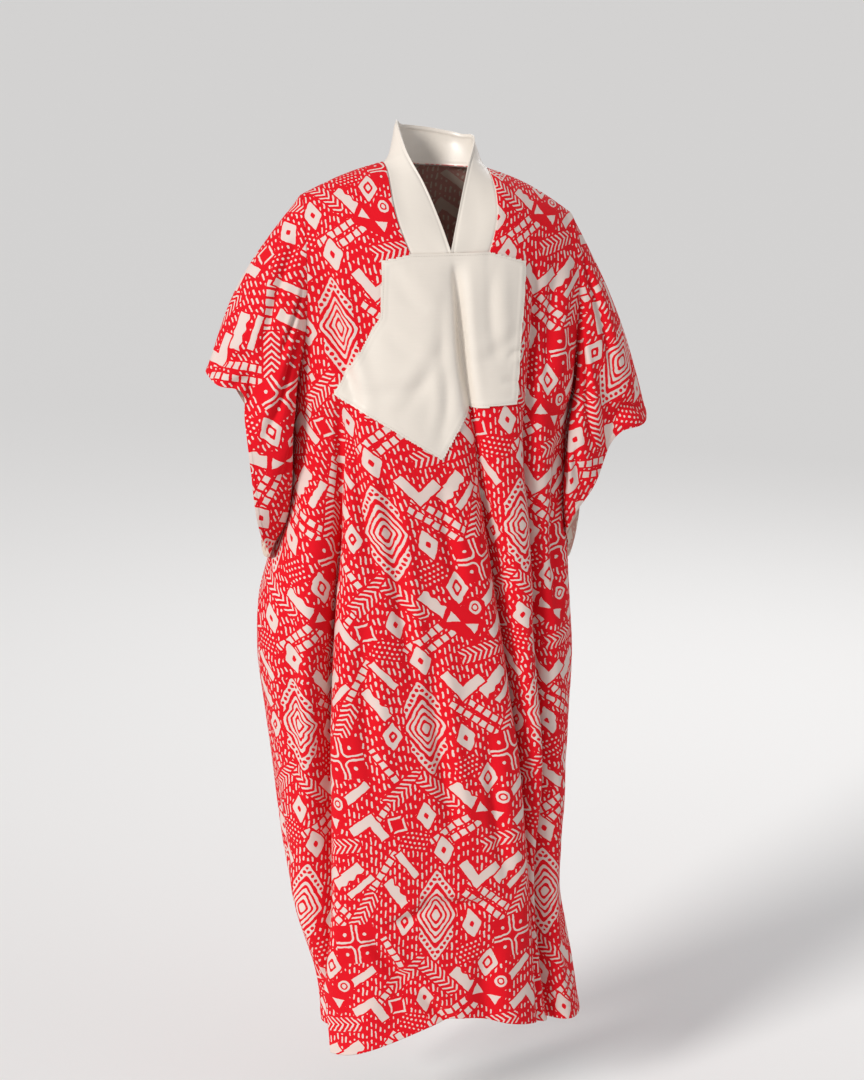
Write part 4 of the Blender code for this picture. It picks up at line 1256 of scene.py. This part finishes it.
def satin_finish(name, colour, roughness):
    """Ivory satin: a close weave with a soft shine, and faint slubs along its threads."""
    finish = Finish(name)
    cut = finish.node("ShaderNodeUVMap", uv_map="cut").outputs[0]
    stretched = finish.vector("MULTIPLY", cut, (9.0, 240.0, 1.0))
    slub = finish.node("ShaderNodeTexNoise", {"Vector": stretched, "Scale": 3.0, "Detail": 2.0})
    shade = tuple(part * 0.90 for part in colour[:3]) + (1.0,)
    finish.set(Base_Color=finish.mix(Value(finish, slub.outputs[0]) * 0.5, colour, shade))
    finish.set(Roughness=roughness, Sheen_Weight=0.10, Sheen_Roughness=0.35, Specular_IOR_Level=0.5)
    soft = finish.node("ShaderNodeTexNoise", {"Vector": cut, "Scale": 34.0, "Detail": 2.0})
    height = Value(finish, slub.outputs[0]) * 0.12 + Value(finish, soft.outputs[0]) * 0.35
    bumped = finish.node("ShaderNodeBump", {"Height": height, "Distance": 0.001, "Strength": 0.5})
    finish.set(Normal=bumped.outputs[0])
    return finish.material


def thread_finish(name, colour):
    """Twisted sewing thread."""
    finish = Finish(name)
    place = finish.node("ShaderNodeTexCoord").outputs["Object"]
    twist = finish.node("ShaderNodeTexNoise", {"Vector": place, "Scale": 900.0, "Detail": 1.0})
    shade = tuple(part * 0.8 for part in colour[:3]) + (1.0,)
    finish.set(Base_Color=finish.mix(Value(finish, twist.outputs[0]), colour, shade), Roughness=0.6)
    return finish.material


print_front = print_finish("printed_cotton", (0.75, 0.004, 0.014, 1.0), (0.75, 0.61, 0.56, 1.0), 0.02)
print_reverse = print_finish("printed_cotton_reverse", (0.58, 0.30, 0.25, 1.0), (0.68, 0.55, 0.46, 1.0), 0.02)
satin = satin_finish("ivory_satin", (0.78, 0.715, 0.64, 1.0), 0.34)
satin_thread = thread_finish("ivory_thread", (0.72, 0.66, 0.60, 1.0))

front, front_across, front_down = body_panel(False)
back, back_across, back_down = body_panel(True)
under_row = STRAP_ROWS + ARMHOLE_ROWS
slit_row = int(np.argmax(front[:, 0, 2] < SLIT_TOP))
for edge, last in ((0, slit_row), (-1, len(front))):
    side_seam = (front[under_row:last, edge] + back[under_row:last, edge]) / 2
    front[under_row:last, edge] = side_seam
    back[under_row:last, edge] = side_seam

keep = np.ones((len(front) - 1, BODY_COLUMNS), bool)
keep[:STRAP_ROWS, NECK_COLUMNS[0]:NECK_COLUMNS[1]] = False
front_sheet = cloth_sheet("front_panel_print", front, front_across, front_down, keep=keep)
back_sheet = cloth_sheet("back_panel_print", back, -back_across, back_down, flip=True)
sleeves = {}
for side in ("right", "left"):
    points, across, down = sleeve_panel(side, front, back)
    sheet = cloth_sheet(f"sleeve_{side}_print", points, across, down, flip=side == "left")
    sleeves[side] = (sheet, points)
surface = FrontSurface(front)
band_points, band_across, band_down = band_panel(front, back, surface)
band_sheet = cloth_sheet("neck_band_satin", band_points, band_across, band_down)
chest, chest_corners = chest_sheet(surface)

thicken(front_sheet, PRINT_THICKNESS, print_front, print_reverse)
thicken(back_sheet, PRINT_THICKNESS, print_front, print_reverse)
for side in sleeves:
    thicken(sleeves[side][0], PRINT_THICKNESS, print_front, print_reverse)
thicken(band_sheet, BAND_THICKNESS, satin, satin, round_edge=0.0008)
thicken(chest, CHEST_THICKNESS, satin, satin, round_edge=0.0004)

route = []
inset = inset_corners(chest_corners, SATIN_STITCH_INSET)
for (ax, az), (bx, bz) in zip(inset, inset[1:] + inset[:1]):
    for share in np.linspace(0, 1, max(2, int(hypot(bx - ax, bz - az) / 0.002)), endpoint=False):
        route.append((ax + (bx - ax) * share, az + (bz - az) * share))
route = np.array(route + route[:1])
stitch_lift = np.full(len(route), CHEST_LIFT + CHEST_THICKNESS / 2 + 0.0004)
stitch_path, stitch_normals = surface.place(route[:, 0], route[:, 1], stitch_lift)
chest_stitches = stitch_row("chest_panel_stitches", stitch_path, stitch_normals, satin_thread)

for sheet, node in ((front_sheet, "front_panel"), (back_sheet, "back_panel"),
                    (sleeves["right"][0], "sleeve_right"), (sleeves["left"][0], "sleeve_left")):
    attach(sheet, "root")
    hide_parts(node)
for sheet, node in ((band_sheet, "neck_band"), (chest, "chest_panel")):
    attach(sheet, "root")
    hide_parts(node)
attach(chest_stitches, "root")

# The camera stands where the photograph was taken from, in front and a little to the wearer's right
CAMERA_PLACE = (-0.880, -4.124, 0.478)
CAMERA_WAY = (0.2017, 0.9491, -0.2419)
camera_data = bpy.data.cameras.new("camera")
camera_data.lens = 85
camera_data.sensor_width = 36
camera = bpy.data.objects.new("camera", camera_data)
camera.location = CAMERA_PLACE
camera.rotation_euler = Vector(CAMERA_WAY).to_track_quat("-Z", "Y").to_euler()
bpy.context.collection.objects.link(camera)
bpy.context.scene.camera = camera


# The key light falls from the wearer's right, in front and above, as from a wide soft box
KEY_STRENGTH = 2.6
KEY_SOFTNESS = radians(16)
KEY_WAY = (0.74, 0.50, -0.45)


def area_light(name, place, target, size, power, colour):
    data = bpy.data.lights.new(name, "AREA")
    data.shape = "RECTANGLE"
    data.size, data.size_y = size
    data.energy = power
    data.color = colour
    light = bpy.data.objects.new(name, data)
    light.location = place
    light.rotation_euler = (Vector(target) - Vector(place)).to_track_quat("-Z", "Y").to_euler()
    bpy.context.collection.objects.link(light)


key_data = bpy.data.lights.new("key", "SUN")
key_data.energy = KEY_STRENGTH
key_data.angle = KEY_SOFTNESS
key_data.color = (1.0, 0.985, 0.96)
key_light = bpy.data.objects.new("key", key_data)
key_light.rotation_euler = Vector(KEY_WAY).to_track_quat("-Z", "Y").to_euler()
bpy.context.collection.objects.link(key_light)
area_light("fill", (2.8, -2.8, 0.3), (0, 0, -0.7), (1.8, 2.2), 10, (0.96, 0.98, 1.0))
area_light("rim", (1.8, 2.8, 1.8), (0, 0, -0.5), (2.6, 2.6), 48, (1.0, 1.0, 1.0))

world = bpy.data.worlds.new("studio")
world.use_nodes = True
world.node_tree.nodes["Background"].inputs["Color"].default_value = (0.86, 0.86, 0.875, 1.0)
world.node_tree.nodes["Background"].inputs["Strength"].default_value = 0.46
bpy.context.scene.world = world
bpy.context.scene.view_settings.view_transform = "Standard"

floor_level = -1.62
bpy.ops.object.select_all(action="DESELECT")
bpy.ops.mesh.primitive_plane_add(size=160, location=(0, 0, floor_level))
floor = bpy.context.active_object
floor.name = "floor"
floor_finish = Finish("pale_floor")
floor_finish.set(Base_Color=(0.86, 0.855, 0.85, 1.0), Roughness=0.9, Specular_IOR_Level=0.1)
floor.data.materials.append(floor_finish.material)
